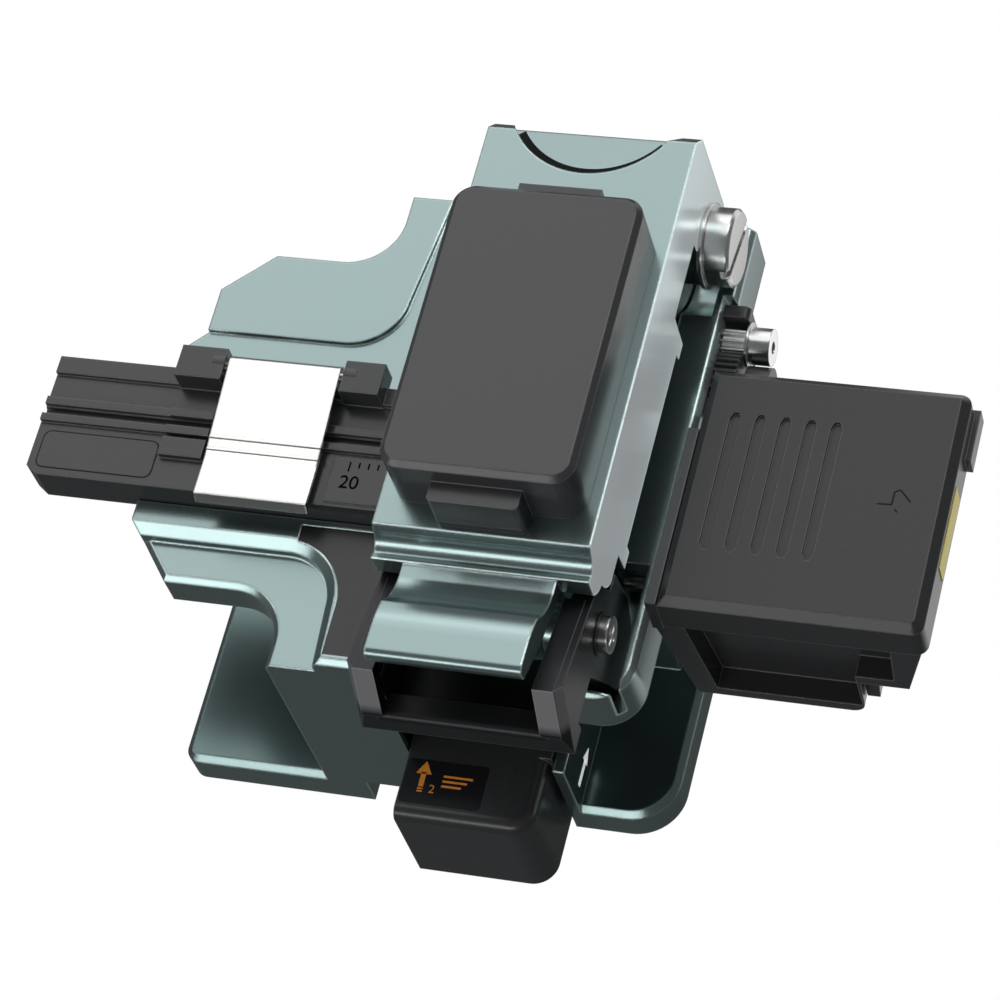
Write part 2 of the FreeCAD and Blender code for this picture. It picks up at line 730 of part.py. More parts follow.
holder.pocket("yz", "clip_left - 2.5", "clip_right + 2.5", None,
              (("clip_pin_y", "clip_pin_z", "clip_pin_radius"),))
holder.pocket("xy", "holder_top - 0.8", "holder_top + 1",
              rectangle("clip_left - 0.3", "clip_right + 0.3", "clip_pin_y - 1.9", "clip_pin_y + 2"))

# Pin and spring-steel clip that holds the fibre down
pin = Piece("clip_pin")
pin.pad("yz", "clip_left - 1.8", "clip_right + 1.8", None,
        (("clip_pin_y", "clip_pin_z", "clip_pin_radius"),))

leaf = Piece("leaf_clip")
leaf.pad("yz", "clip_left", "clip_right", None, (("clip_pin_y", "clip_pin_z", "clip_pin_radius + clip_thick"),))
leaf.pad("yz", "clip_left", "clip_right", [
    ("clip_pin_y", "clip_pin_z + clip_pin_radius + 0.1"),
    ("clip_pin_y", "clip_pin_z + clip_pin_radius + clip_thick"),
    ("-1.6", "holder_top + 1.1"),
    ("-4.0", "holder_top + 0.7"),
    ("-8.2", "holder_top + 0.7"),
    ("-8.6", "holder_top - 0.6"),
    ("-8.1", "holder_top - 0.6"),
    ("-7.8", "holder_top + 0.2"),
    ("-4.0", "holder_top + 0.2"),
    ("-1.6", "holder_top + 0.6"),
])
leaf.pocket("yz", "clip_left - 1", "clip_right + 1", None,
            (("clip_pin_y", "clip_pin_z", "clip_pin_radius + pin_play"),))

# Screws that hold the fibre holder down in its channel
holder_screws = Piece("holder_screws")
for place in ("-45.5", "-15"):
    holder_screws.pad("xy", "holder_bottom - 2.5", "holder_bottom", None, ((place, "-5", "0.8"),))
holder_screws.body.AllowCompound = True
for place in ("-45.5", "-15"):
    base_hole = (place, "-5", "0.8")
    base.pocket("xy", "holder_bottom - 2.5", "holder_bottom + 0.1", None, (base_hole,))

# Lower clamps either side of the blade, with rubber pads
clamp_sides = {"left": ("slot_left - 0.5 - clamp_width", "slot_left - 0.5"),
               "right": ("slot_right + 0.4", "slot_right + 0.4 + clamp_width")}
for name, (x_low, x_high) in clamp_sides.items():
    clamp = Piece("lower_clamp_" + name)
    clamp.pad("xy", "deck_top", "fibre_height - 0.1 - pad_thick",
              rectangle(x_low, x_high, "-clamp_half_length", "clamp_half_length"))
    pad = Piece("lower_pad_" + name)
    pad.pad("xy", "fibre_height - 0.1 - pad_thick", "fibre_height - 0.1",
            rectangle(x_low + " + 0.4", x_high + " - 0.4",
                      "-clamp_half_length + 0.5", "clamp_half_length - 0.5"))

# Magnets in the posts and in the foot of the arm
base_magnets = Piece("base_magnets")
base_magnets.body.AllowCompound = True
arm_magnets = Piece("arm_magnets")
arm_magnets.body.AllowCompound = True
for place in post_places:
    base_magnets.pad("xy", "arm_foot - 0.2 - magnet_height", "arm_foot - 0.2",
                     square(place, "magnet_width", "magnet_half"))
    arm_magnets.pad("xy", "arm_foot", "arm_foot + magnet_height",
                    square(place, "magnet_width", "magnet_half"))

# Clamp arm: side profile, thumb lever, hinge slot, clamp cavity and thumb scoop
arm = Piece("clamp_arm")
arm.pad("yz", "-arm_half", "arm_half", [
    ("arm_rear", "arm_top"),
    ("arm_front", "arm_top"),
    ("arm_front - 0.4", "arm_top - 0.8"),
    ("arm_front - 1.7", "arm_top - 2.6", "-2.2"),
    ("arm_front - 2.6", "arm_top - 2.2"),
    ("arm_front - 2.6", "arm_top - 4.7"),
    ("arm_front - 0.5", "arm_top - 6.3", "3.2"),
    ("arm_front + 1.1", "arm_top - 8.9", "3.2"),
    ("arm_front + 4.2", "arm_top - 8.9"),
    ("arm_front + 4.4", "arm_foot"),
    ("arm_front + 6.3", "arm_foot"),
    ("arm_front + 6.3", "arm_under"),
    ("12.2", "arm_under"),
    ("12.4", "arm_foot"),
    ("14.2", "arm_foot"),
    ("14.3", "hinge_z + 4.8"),
    ("hinge_y - 3.1", "hinge_z + 4.8"),
    ("hinge_y - 1.9", "hinge_z - 4.4"),
    ("hinge_y + 2.4", "hinge_z - 4.0", "9"),
    ("hinge_y + 6.1", "hinge_z - 1.5"),
    ("arm_rear + 1.5", "arm_top - 1.6"),
])
arm.pad("yz", "-lever_half", "lever_half", [
    ("arm_front - 1.5", "arm_top - 2.6"),
    ("arm_front - 4.1", "arm_top - 2.5"),
    ("lever_tip + 6.2", "lever_top - 0.9", "-5.5"),
    ("lever_tip + 3.2", "lever_top - 0.1", "9"),
    ("lever_tip + 0.9", "lever_top"),
    ("lever_tip", "lever_top - 0.7", "0.9"),
    ("lever_tip + 0.2", "lever_top - 1.7"),
    ("lever_tip + 2.3", "lever_top - 2.6"),
    ("lever_tip + 4.9", "lever_top - 3.7"),
    ("arm_front - 5.4", "arm_top - 3.7"),
    ("arm_front - 1.5", "arm_top - 4.9"),
])
arm.pocket("yz", "left_ear_inner", "right_ear_inner", [
    ("hinge_y - 6.2", "hinge_z - 6"),
    ("hinge_y + 8", "hinge_z - 6"),
    ("hinge_y + 8", "hinge_z + 5.2"),
    ("hinge_y - 6.2", "hinge_z + 5.2"),
])
arm.pocket("xy", "arm_foot - 1", "clamp_seat",
           rectangle("slot_left - 0.8 - clamp_width", "slot_right + 0.8 + clamp_width",
                     "-clamp_half_length - 1", "clamp_half_length + 1"))
arm.pocket("yz", "-arm_half - 1", "arm_half + 1", None, (("hinge_y", "hinge_z", "pin_radius"),))
for place in post_places:
    arm.pocket("xy", "arm_foot - 0.1", "arm_foot + magnet_height",
               square(place, "magnet_width", "magnet_half"))
for place in ("slot_left - 2.3", "slot_right + 2.2"):
    arm.pocket("xy", "arm_under + 5", "arm_top + 1", None, ((place, "0", "0.8"),))
arm.pocket("xy", "arm_under + 6", "arm_under + 10", None, (("0", "0", "0.9"),))

arm.scoop("-scoop_slope", "scoop_y", "arm_top - scoop_depth", "scoop_radius", "scoop_depth + 3")

# Cover: a moulded shell with a clip at the front and a tab at the rear
cover = Piece("arm_cover")
cover.pad("xy", "arm_top", "cover_top",
          rectangle("-cover_half", "cover_half", "cover_front", "cover_rear"))
cover.fillet("cover_corner", lambda e: is_along(e, ALONG_Z))
cover.chamfer("cover_edge", lambda e: is_flat_at(e, "cover_top"))
cover.pocket("xy", "arm_top", "cover_top - cover_wall",
             rectangle("-cover_half + cover_wall", "cover_half - cover_wall",
                       "cover_front + cover_wall", "cover_rear - cover_wall"))
cover.pad("xy", "arm_top", "arm_top + clip_tab_height",
          rectangle("-clip_tab_half", "clip_tab_half", "cover_front - clip_tab_reach", "cover_front + 0.3"))
cover.pad("xy", "arm_top + 0.2", "arm_top + 4.5",
          rectangle("-clip_tab_half + 0.3", "clip_tab_half - 0.3", "cover_rear - 0.3", "cover_rear + 2"))
cover.fillet("0.5", lambda e: is_along(e, ALONG_Z) and near(middle_of(e).y, "cover_front - clip_tab_reach"))

# Hinge screw, its washer and the spring that lifts the arm
hinge_screw = Piece("hinge_screw")
hinge_face = "arm_half + hinge_washer_thick + hinge_head_thick"
hinge_screw.pad("yz", "-arm_half", "arm_half + hinge_washer_thick + 0.1", None,
                (("hinge_y", "hinge_z", "pin_radius"),))
hinge_screw.pad("yz", "arm_half + hinge_washer_thick", hinge_face, None,
                (("hinge_y", "hinge_z", "hinge_head_radius"),))
hinge_screw.chamfer("0.35", lambda e: near(middle_of(e).x, hinge_face) and near(e.BoundBox.XMin, hinge_face))
hinge_screw.pocket("yz", hinge_face + " - 0.9", hinge_face + " + 1", [
    ("hinge_y - 5", "hinge_z + 1.6"),
    ("hinge_y - 5", "hinge_z + 0.7"),
    ("hinge_y + 5", "hinge_z - 1.5"),
    ("hinge_y + 5", "hinge_z - 0.6"),
])
hinge_washer = Piece("hinge_washer")
hinge_washer.pad("yz", "arm_half", "arm_half + hinge_washer_thick", None,
                 (("hinge_y", "hinge_z", "hinge_washer_radius"), ("hinge_y", "hinge_z", "pin_radius")))

# Latch frame: two eared side arms joined by a front bar
latch = Piece("latch_frame")
latch_side = [
    ("latch_y - 10.2", "latch_z + 7.3"),
    ("latch_y - 12.0", "latch_z + 1.2"),
    ("latch_y - 12.0", "latch_z - 0.3"),
    ("latch_y - 5.9", "latch_z - 0.3"),
    ("latch_y - 4.4", "latch_z - 0.4"),
    ("latch_y - 2.0", "latch_z - 6.4"),
    ("latch_y - 1.0", "ear_slot_floor + 1.2"),
    ("latch_y + 5.6", "ear_slot_floor + 1.2"),
    ("latch_y + 7.0", "latch_z - 5.8"),
    ("latch_y + 6.4", "latch_z + 0.15"),
    ("latch_y + 4.5", "latch_z + 0.3"),
    ("latch_y + 3.6", "latch_z + 2.4"),
    ("latch_y + 1.2", "latch_z + 4.7", "3.4"),
]
latch.pad("yz", "latch_inner", "latch_half", latch_side)
latch.pad("yz", "-latch_half", "latch_half", [
    ("latch_y - 12.0", "latch_z - 1.6"),
    ("latch_y - 9.4", "latch_z - 1.6"),
    ("latch_y - 9.4", "latch_z + 1.2"),
    ("latch_y - 12.0", "latch_z + 1.2"),
])
latch.pad("yz", "-latch_half", "-latch_inner", latch_side)
latch.fillet("0.7", lambda e: is_along(e, ALONG_X) and near(middle_of(e).y, "latch_y - 12.0")
             and near(middle_of(e).z, "latch_z + 1.2") and abs(middle_of(e).x) < number("latch_inner"))
latch.chamfer("0.8", lambda e: abs(abs(middle_of(e).x) - number("latch_half")) < 0.02
              and near(e.BoundBox.YMin, "latch_y - 12.0") and near(e.BoundBox.ZMax, "latch_z + 7.3"))
latch.pocket("yz", "-latch_half - 1", "latch_half + 1", None, (("latch_y", "latch_z", "latch_bore"),))

# Shoulder screws and washers that the latch frame turns on
latch_screws = Piece("latch_screws")
latch_screws.body.AllowCompound = True
latch_washers = Piece("latch_washers")
latch_washers.body.AllowCompound = True
for mirror in ("", "-"):
    shank = sorted([mirror + "latch_lug_inner", mirror + "(latch_half + latch_flange_thick + 0.1)"], key=number)
    head = sorted([mirror + "(latch_half + latch_flange_thick + 0.02)",
                   mirror + "(latch_half + latch_flange_thick + latch_head_thick)"], key=number)
    washer = sorted([mirror + "(latch_half + 0.02)", mirror + "(latch_half + latch_flange_thick + 0.02)"], key=number)
    latch_screws.pad("yz", shank[0], shank[1], None, (("latch_y", "latch_z", "latch_pin - 0.1"),))
    latch_screws.pad("yz", head[0], head[1], None, (("latch_y", "latch_z", "latch_head_radius"),))
    latch_washers.pad("yz", washer[0], washer[1], None,
                      (("latch_y", "latch_z", "latch_flange_radius"), ("latch_y", "latch_z", "latch_pin - 0.1")))

for mirror in ("", "-"):
    recess = sorted([mirror + "(latch_half + latch_flange_thick + latch_head_thick - 0.4)",
                     mirror + "(latch_half + latch_flange_thick + latch_head_thick + 1)"], key=number)
    for half_y, half_z in (("1.05", "0.22"), ("0.22", "1.05")):
        latch_screws.pocket("yz", recess[0], recess[1],
                            rectangle("latch_y - " + half_y, "latch_y + " + half_y,
                                      "latch_z - " + half_z, "latch_z + " + half_z))

# Stop screw under the deck
stop_screw = Piece("stop_screw")
stop_screw.pad("xy", "deck_height - 0.9", "ear_slot_floor + 0.6", None, ((stop_place[0], stop_place[1], "0.7"),))

# Rail, runner, carriage and handle
rail = Piece("slide_rail")
rail.pad("xz", "rail_front", "rail_rear", [
    ("rail_x - rail_width / 2", "slab_top"),
    ("rail_x + rail_width / 2", "slab_top"),
    ("rail_x + rail_width / 2", "slab_top + 0.9"),
    ("rail_x + rail_width / 2 - 0.45", "slab_top + 1.3"),
    ("rail_x + rail_width / 2", "slab_top + 1.7"),
    ("rail_x + rail_width / 2", "slab_top + rail_height"),
    ("rail_x - rail_width / 2", "slab_top + rail_height"),
    ("rail_x - rail_width / 2", "slab_top + 1.7"),
    ("rail_x - rail_width / 2 + 0.45", "slab_top + 1.3"),
    ("rail_x - rail_width / 2", "slab_top + 0.9"),
])
runner = Piece("slide_runner")
runner.pad("xz", "runner_front", "runner_front + runner_length", [
    ("rail_x - runner_width / 2", "slab_top + 0.5"),
    ("rail_x - rail_width / 2 - runner_gap", "slab_top + 0.5"),
    ("rail_x - rail_width / 2 - runner_gap", "slab_top + rail_height + runner_gap"),
    ("rail_x + rail_width / 2 + runner_gap", "slab_top + rail_height + runner_gap"),
    ("rail_x + rail_width / 2 + runner_gap", "slab_top + 0.5"),
    ("rail_x + runner_width / 2", "slab_top + 0.5"),
    ("rail_x + runner_width / 2", "runner_top"),
    ("rail_x - runner_width / 2", "runner_top"),
])
carriage = Piece("carriage_block")
carriage.pad("xy", "runner_top", "carriage_top",
             rectangle("carriage_left", "-1.6", "handle_joint", "carriage_rear"))

handle = Piece("carriage_handle")
handle.pad("xy", "handle_bottom", "handle_top",
           rectangle("handle_left", "handle_right", "handle_front", "handle_back"))
handle.fillet("handle_corner", lambda e: is_along(e, ALONG_Z) and near(middle_of(e).x, "handle_right")
              and near(middle_of(e).y, "handle_front"))
handle.fillet("handle_round", lambda e: is_flat_at(e, "handle_top")
              and (middle_of(e).y < number("handle_back") - 0.5)
              and middle_of(e).x > number("handle_left") + 0.5)
handle.pad("xy", "slab_top - 1.2", "handle_top",
           rectangle("handle_left", "handle_right + 0.3", "handle_back", "handle_back + 0.8"))
handle.pad("xy", "runner_top", "handle_top",
           rectangle("handle_left", "handle_right + 0.3", "handle_back + 0.5", "handle_joint"))
handle.pad("xy", "handle_top - 0.2", "handle_step",
           rectangle("handle_step_left", "handle_right + 0.3", "handle_block_front", "handle_joint"))
handle.fillet("handle_round", lambda e: is_along(e, ALONG_X) and near(middle_of(e).z, "handle_step")
              and near(middle_of(e).y, "handle_block_front"))
handle.pocket("xy", "handle_top - handle_slot", "handle_top + 1",
              rectangle("handle_step_left", "handle_right + 1", "handle_back + 1.2", "handle_block_front"))

# Blade post, axle, nut and the blade wheel itself
post = Piece("blade_post")
post.pad("yz", "-3.9", "-blade_thick / 2 - 0.1",
         lug_outline("blade_home", "blade_z", "3.4", "carriage_top"))
post.pad("xy", "carriage_top", "carriage_top + 2",
         rectangle("-9", "-3.5", "blade_home - 4", "blade_home + 4"))
post.pocket("yz", "-5", "1", None, (("blade_home", "blade_z", "1.5"),))
axle = Piece("blade_axle")
axle.pad("yz", "-3.9", "-blade_thick / 2", None, (("blade_home", "blade_z", "1.5"),))
axle.pad("yz", "-blade_thick / 2 - 0.1", "blade_thick / 2 + 0.1", None,
         (("blade_home", "blade_z", "blade_bore - pin_play"),))
nut = Piece("blade_cap")
nut.pad("yz", "blade_thick / 2 + 0.1", "blade_thick / 2 + 0.9", hexagon("blade_home", "blade_z", "3.4"))
wheel = Piece("blade_wheel")
wheel.pad("yz", "-blade_thick / 2", "blade_thick / 2", None,
          (("blade_home", "blade_z", "blade_radius"), ("blade_home", "blade_z", "blade_bore")))
wheel.chamfer("blade_thick * 0.48", lambda e: e.BoundBox.YLength > number("blade_radius") * 1.9)

# Upper clamp in the arm, its pads and screws
upper = Piece("upper_clamp")
upper_low = "fibre_height - 0.1 + pad_gap + pad_thick"
upper.pad("xy", upper_low, "clamp_seat",
          rectangle("slot_left - 0.5 - clamp_width", "slot_right + 0.4 + clamp_width",
                    "-clamp_half_length", "clamp_half_length"))
upper.pocket("xy", upper_low + " - 1", "arm_under + 3",
             rectangle("slot_left", "slot_right", "-clamp_half_length - 1", "clamp_half_length + 1"))
upper.pocket("xy", upper_low + " - 1", "arm_under + 7", None, (("0", "0", "0.95"),))
for name, (x_low, x_high) in clamp_sides.items():
    pad = Piece("upper_pad_" + name)
    pad.pad("xy", "fibre_height - 0.1 + pad_gap", upper_low,
            rectangle(x_low + " + 0.4", x_high + " - 0.4",
                      "-clamp_half_length + 0.5", "clamp_half_length - 0.5"))
clamp_screws = Piece("clamp_screws")
clamp_screws.body.AllowCompound = True
for place in ("slot_left - 2.3", "slot_right + 2.2"):
    clamp_screws.pad("xy", "clamp_seat", "arm_top + 0.1", None, ((place, "0", "0.8"),))
    clamp_screws.pad("xy", "arm_top", "arm_top + 1.4", hexagon(place, "0", "1.6"))

# Anvil that bends the scored fibre, with its spring
anvil = Piece("anvil")
anvil.pad("xy", "fibre_height + 0.8", "arm_under + 9", None, (("0", "0", "0.85"),))

# Scrap bin body: moulded tub with a front recess
bin_body = Piece("bin_body")
bin_body.pad("xz", "bin_front", "bin_rear", [
    ("bin_left", "bin_rim"),
    ("bin_left + 2.3", "bin_floor"),
    ("bin_left + 17.7", "bin_floor"),
    ("bin_left + 19.2", "bin_floor + 1.5", "1.5"),
    ("bin_left + 19.4", "bin_floor + 6"),
    ("bin_right - 2.2", "bin_floor + 6"),
    ("bin_right", "bin_rim"),
])
bin_body.pad("xz", "bin_front - 0.2", "4.0", [
    ("bin_left", "bin_rim - 1"),
    ("bin_left + 1.1", "bin_rim - 1"),
    ("bin_left + 1.1", "lid_top - 1.1"),
    ("bin_left", "lid_top - 1.1"),
])
# recess in the front face, above a bead along the bottom edge
bin_body.pocket("xz", "bin_front", "bin_front + bin_recess", [
    ("bin_left + 3.1", "bin_rim - 0.7"),
    ("bin_left + 4.4", "bin_floor + 1.3"),
    ("bin_left + 19.0", "bin_floor + 1.3"),
    ("bin_left + 19.0", "bin_floor + bin_step + 1.3"),
    ("bin_right - 3.6", "bin_floor + bin_step + 1.3"),
    ("bin_right - 3.2", "bin_rim - 0.7"),
])
bin_body.pocket("xz", "bin_front + bin_recess + bin_wall", "bin_rear - bin_wall", [
    ("bin_left + bin_wall", "bin_rim + 1"),
    ("bin_left + 2.3 + bin_wall", "bin_floor + bin_wall"),
    ("bin_left + 18.0", "bin_floor + bin_wall"),
    ("bin_left + 18.0", "bin_floor + bin_step + bin_wall"),
    ("bin_right - 2.0 - bin_wall", "bin_floor + bin_step + bin_wall"),
    ("bin_right - bin_wall", "bin_rim + 1"),
])
# foot beside the step
bin_body.pad("xz", "bin_front + 1", "bin_front + 5", [
    ("bin_left + 19.2", "bin_floor + bin_step + 0.6"),
    ("bin_left + 19.35", "bin_floor + 1.6"),
    ("bin_left + 20.6", "bin_floor + 1.6"),
    ("bin_left + 21.0", "bin_floor + bin_step + 0.6"),
])
# ribs that the lid slides on
for y_low, y_high in (("bin_front + 0.9", "bin_front + 2.1"), ("bin_rear - 2", "lid_rear - lid_wall - 0.2")):
    bin_body.pad("xy", "bin_rim - 0.5", "lid_top - lid_wall - 0.1",
                 rectangle("bin_left + 1.4", "bin_right - bin_wall", y_low, y_high))
# bosses for the screws, and the lug that carries the bin gear
for y_place, z_place in bin_screw_places:
    bin_body.pad("yz", "deck_right", "bin_left + 2.8",
                 rectangle(y_place + " - 1.8", y_place + " + 1.8", z_place + " - 1.8", z_place + " + 1.8"))
    bin_body.pocket("yz", "deck_right - 1", "bin_left + 4", None, ((y_place, z_place, "0.8"),))
gear_lug = ("bin_gear_y", "bin_gear_z", "gear_pin_radius")
bin_body.pad("yz", "lug_near", "lug_far", [
    ("bin_rear - 0.6", "bin_gear_z - bracket_radius"),
    ("bin_gear_y", "bin_gear_z - bracket_radius"),
    ("bin_gear_y + bracket_radius", "bin_gear_z", "bracket_radius"),
    ("bin_gear_y", "bin_gear_z + bracket_radius", "bracket_radius"),
    ("bin_rear - 0.6", "bin_gear_z + bracket_radius"),
])
bin_body.pocket("yz", "lug_near - 1", "lug_far - 1.2", None, (gear_lug,))

# Screws that hold the bin on the deck
bin_screws = Piece("bin_screws")
bin_screws.body.AllowCompound = True
for y_place, z_place in bin_screw_places:
    bin_screws.pad("yz", "deck_right - 4", "bin_left + 2.9", None, ((y_place, z_place, "0.8"),))
    bin_screws.pad("yz", "bin_left + 2.8", "bin_left + 3.6", hexagon(y_place, z_place, "1.5"))

# Lid of the bin, which slides open to the right
lid = Piece("bin_lid")
lid.pad("xy", "bin_rim + 0.2", "lid_top", rectangle("lid_left", "lid_right", "lid_front", "lid_rear"))
lid.fillet("lid_round", lambda e: is_along(e, ALONG_Z) and near(middle_of(e).x, "lid_right"))
lid.chamfer("lid_round * 0.75", lambda e: is_flat_at(e, "lid_top"))
lid.pocket("xy", "bin_rim - 1", "lid_top - lid_wall",
           rectangle("lid_left - 1", "lid_right - lid_wall", "lid_front + lid_wall", "lid_rear - lid_wall"))
for index in range(5):
    place = "lid_groove_first + %d * lid_groove_pitch" % index
    left, right = place + " - lid_groove_radius", place + " + lid_groove_radius"
    lid.pocket("xy", "lid_top - lid_groove_depth", "lid_top + 1", [
        (place + " - 0.25", "lid_groove_front"),
        (place + " + 0.25", "lid_groove_front"),
        (right, "lid_groove_front + 0.7"),
        (right, "lid_groove_rear - 0.7"),
        (place + " + 0.25", "lid_groove_rear"),
        (place + " - 0.25", "lid_groove_rear"),
        (left, "lid_groove_rear - 0.7"),
        (left, "lid_groove_front + 0.7"),
    ])


# Tab at the rear end of the lid's right side
lid.pad("xy", "lid_top - lid_height - 0.1", "lid_top - lid_tab_drop",
        rectangle("lid_right - 0.4", "lid_right + 0.6", "lid_tab_front", "lid_rear - 0.4"))

# Gear sector on the arm, which drives the spindle
SECTOR_STEP = 360.0 / SIZES["sector_teeth"]
SECTOR_GAPS = 14
sector = Piece("arm_gear_sector")
sector_near = "lug_right + 0.25"
first_gap = "180 + mesh_turn - 1.5 * 360 / sector_teeth"
last_gap = "180 + mesh_turn + 11.5 * 360 / sector_teeth"
sector_tip = "sector_radius + addendum * gear_module"
hinge_centre = ("hinge_y", "hinge_z")
sector.pad("yz", sector_near, "right_ear_inner", None, (("hinge_y", "hinge_z", "lug_radius - 0.8"),))
wedge = sector.sketch("yz", sector_near, [
    polar("1", "180 + mesh_turn + 5 * 360 / sector_teeth + 180"),
    polar(sector_tip, first_gap),
    polar(sector_tip, "180 + mesh_turn + 5 * 360 / sector_teeth") + (sector_tip,),
    polar(sector_tip, last_gap) + (sector_tip,),
], (), hinge_centre)
fan = sector.body.newObject("PartDesign::Pad", "arm_gear_sector_fan")
fan.Profile = wedge
bind(fan, "Length", "right_ear_inner - (%s)" % sector_near)
sector.gaps(sector_near, "right_ear_inner", hinge_centre,
            tooth_gap("sector_radius", "sector_teeth", first_gap), SECTOR_GAPS, SECTOR_STEP)
sector.pocket("yz", sector_near + " - 1", "right_ear_inner + 1", None, (("hinge_y", "hinge_z", "pin_radius"),))

# Spindle: pinion under the arm, pinion outside the deck, flange and hub
spindle_centre = ("spindle_y", "spindle_z")
drive = Piece("drive_pinion")
drive.pad("yz", sector_near, "right_ear_inner", None,
          (("spindle_y", "spindle_z", "pinion_radius + addendum * gear_module"),))
drive.gaps(sector_near, "right_ear_inner", spindle_centre,
           tooth_gap("pinion_radius", "pinion_teeth", "mesh_turn"), 10, 36)
drive.pocket("yz", sector_near + " - 1", "right_ear_inner + 1", None,
             (("spindle_y", "spindle_z", "spindle_radius"),))
shaft = Piece("spindle_shaft")
shaft.pad("yz", "lug_right - 1.5", "output_left + 0.1", None, (("spindle_y", "spindle_z", "spindle_radius"),))
output = Piece("output_pinion")
output.pad("yz", "output_left", "output_right", None,
           (("spindle_y", "spindle_z", "pinion_radius + addendum * gear_module"),))
output.gaps("output_left", "output_right", spindle_centre,
            tooth_gap("pinion_radius", "pinion_teeth", "180 + bin_mesh_turn"), 10, 36)
output.pocket("yz", "output_left - 1", "output_left + 0.1", None,
              (("spindle_y", "spindle_z", "spindle_radius"),))
output.pad("yz", "output_right", "output_right + flange_thick", None,
           (("spindle_y", "spindle_z", "flange_radius"),))
output.pad("yz", "output_right + flange_thick", "hub_right", None,
           (("spindle_y", "spindle_z", "hub_radius"),))
output.pocket("yz", "hub_right - 1.6", "hub_right + 1", None, (("spindle_y", "spindle_z", "0.65"),))
bush = Piece("spindle_bush")
bush.pad("yz", "right_ear_inner + ear_gap", "deck_right", None,
         (("spindle_y", "spindle_z", "bush_radius"), ("spindle_y", "spindle_z", "spindle_radius + spindle_play")))

# Gear of the scrap bin, turned by the spindle, and its pin
bin_gear = Piece("bin_gear")
bin_gear_near = "output_left + 0.15"
bin_gear_far = "output_left + 0.15 + bin_gear_width"
bin_gear_centre = ("bin_gear_y", "bin_gear_z")
bin_gear.pad("yz", bin_gear_near, bin_gear_far, None,
             (("bin_gear_y", "bin_gear_z", "bin_gear_radius + addendum * gear_module"),))
bin_gear.gaps(bin_gear_near, bin_gear_far, bin_gear_centre,
              tooth_gap("bin_gear_radius", "bin_gear_teeth", "bin_mesh_turn + 180 / bin_gear_teeth"), 24, 15)
bin_gear.pocket("yz", bin_gear_near + " - 1", bin_gear_far + " + 1", None,
                (("bin_gear_y", "bin_gear_z", "gear_pin_radius + pin_play"),))
gear_pin = Piece("bin_gear_pin")
gear_pin.pad("yz", "output_left + 0.05", "lug_far - 1.2", None,
             (("bin_gear_y", "bin_gear_z", "gear_pin_radius"),))

# Guard block beside the spindle
guard = Piece("spindle_guard")
guard.pad("xy", "deck_height + 2.5", "deck_top + 0.7",
          rectangle("deck_right", "deck_right + guard_reach", "guard_front", "guard_rear"))
guard.chamfer("0.4", lambda e: is_along(e, ALONG_Y) and near(middle_of(e).z, "deck_top + 0.7")
              and near(middle_of(e).x, "deck_right + guard_reach"))

# Plain printed patch on the lid's right side
patch = Piece("bin_patch")
patch.pad("xy", "lid_top - lid_height + 0.6", "lid_top - 1.6",
          rectangle("lid_right", "lid_right + 0.08", "-8.1", "0.8"))


def export(body):
    if body.Shape.isNull() or not body.Shape.isValid():
        raise RuntimeError("%s has no valid shape" % body.Label)
    body.Shape.exportStep(os.path.join("parts", body.Label + ".step"))


doc.recompute()
failed = [item.Label for item in doc.Objects if "Invalid" in item.State or "Error" in item.State]
if failed:
    raise RuntimeError("failed: " + ", ".join(failed))
os.makedirs("parts", exist_ok=True)
for body in nodes:
    export(body)
print("%d sub-parts" % len(nodes))
for body in nodes:
    print("%-20s solids %d volume %9.2f" % (body.Label, len(body.Shape.Solids), body.Shape.Volume))
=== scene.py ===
# %% [markdown]
# A fibre cleaver on a white studio floor.
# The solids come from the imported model, so every piece already has its real size and place in metres.
# This lesson gives them their finishes, adds what is printed or too fine for a solid, and lights them.

# %% Load the frame
import json
import math
import bpy
import bmesh
from mathutils import Matrix, Vector


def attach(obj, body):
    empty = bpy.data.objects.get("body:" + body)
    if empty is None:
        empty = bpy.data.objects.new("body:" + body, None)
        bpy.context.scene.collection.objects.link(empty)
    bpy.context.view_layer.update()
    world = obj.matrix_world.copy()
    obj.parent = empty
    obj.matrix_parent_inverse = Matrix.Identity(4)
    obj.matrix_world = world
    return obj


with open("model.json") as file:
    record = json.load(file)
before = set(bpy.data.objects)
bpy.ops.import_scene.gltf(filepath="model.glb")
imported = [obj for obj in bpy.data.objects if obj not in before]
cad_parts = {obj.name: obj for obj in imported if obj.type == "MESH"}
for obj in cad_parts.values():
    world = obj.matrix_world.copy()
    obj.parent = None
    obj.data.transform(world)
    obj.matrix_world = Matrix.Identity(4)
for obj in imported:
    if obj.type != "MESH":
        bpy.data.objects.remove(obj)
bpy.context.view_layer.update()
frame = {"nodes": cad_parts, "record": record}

MM = 0.001
nodes = frame["nodes"]
print("pieces:", len(nodes))

# %% [markdown]
# An operator works on everything that is selected, and loading leaves the solids selected.
# So one helper clears the selection, and another picks a single piece before an operator shapes it.
# New pieces lie on the solids. A third helper reads from a solid's mesh where that solid ends, so a piece
# placed with it keeps its seat when the model changes. A seat that is no end of a solid, such as the
# holder's top beside its blocks, is a named value.

# %% Selection and measuring
def deselect():
    bpy.ops.object.select_all(action="DESELECT")
    bpy.context.view_layer.objects.active = None


def activate(piece):
    deselect()
    piece.select_set(True)
    bpy.context.view_layer.objects.active = piece


def end_of(name, axis, side):
    """Where a solid ends along x, y or z, in millimetres. The side is min or max."""
    number = "xyz".index(axis)
    return round(side(vertex.co[number] for vertex in nodes[name].data.vertices) / MM, 3)


deselect()
print("top of the arm's cover:", end_of("arm_cover", "z", max), "mm")

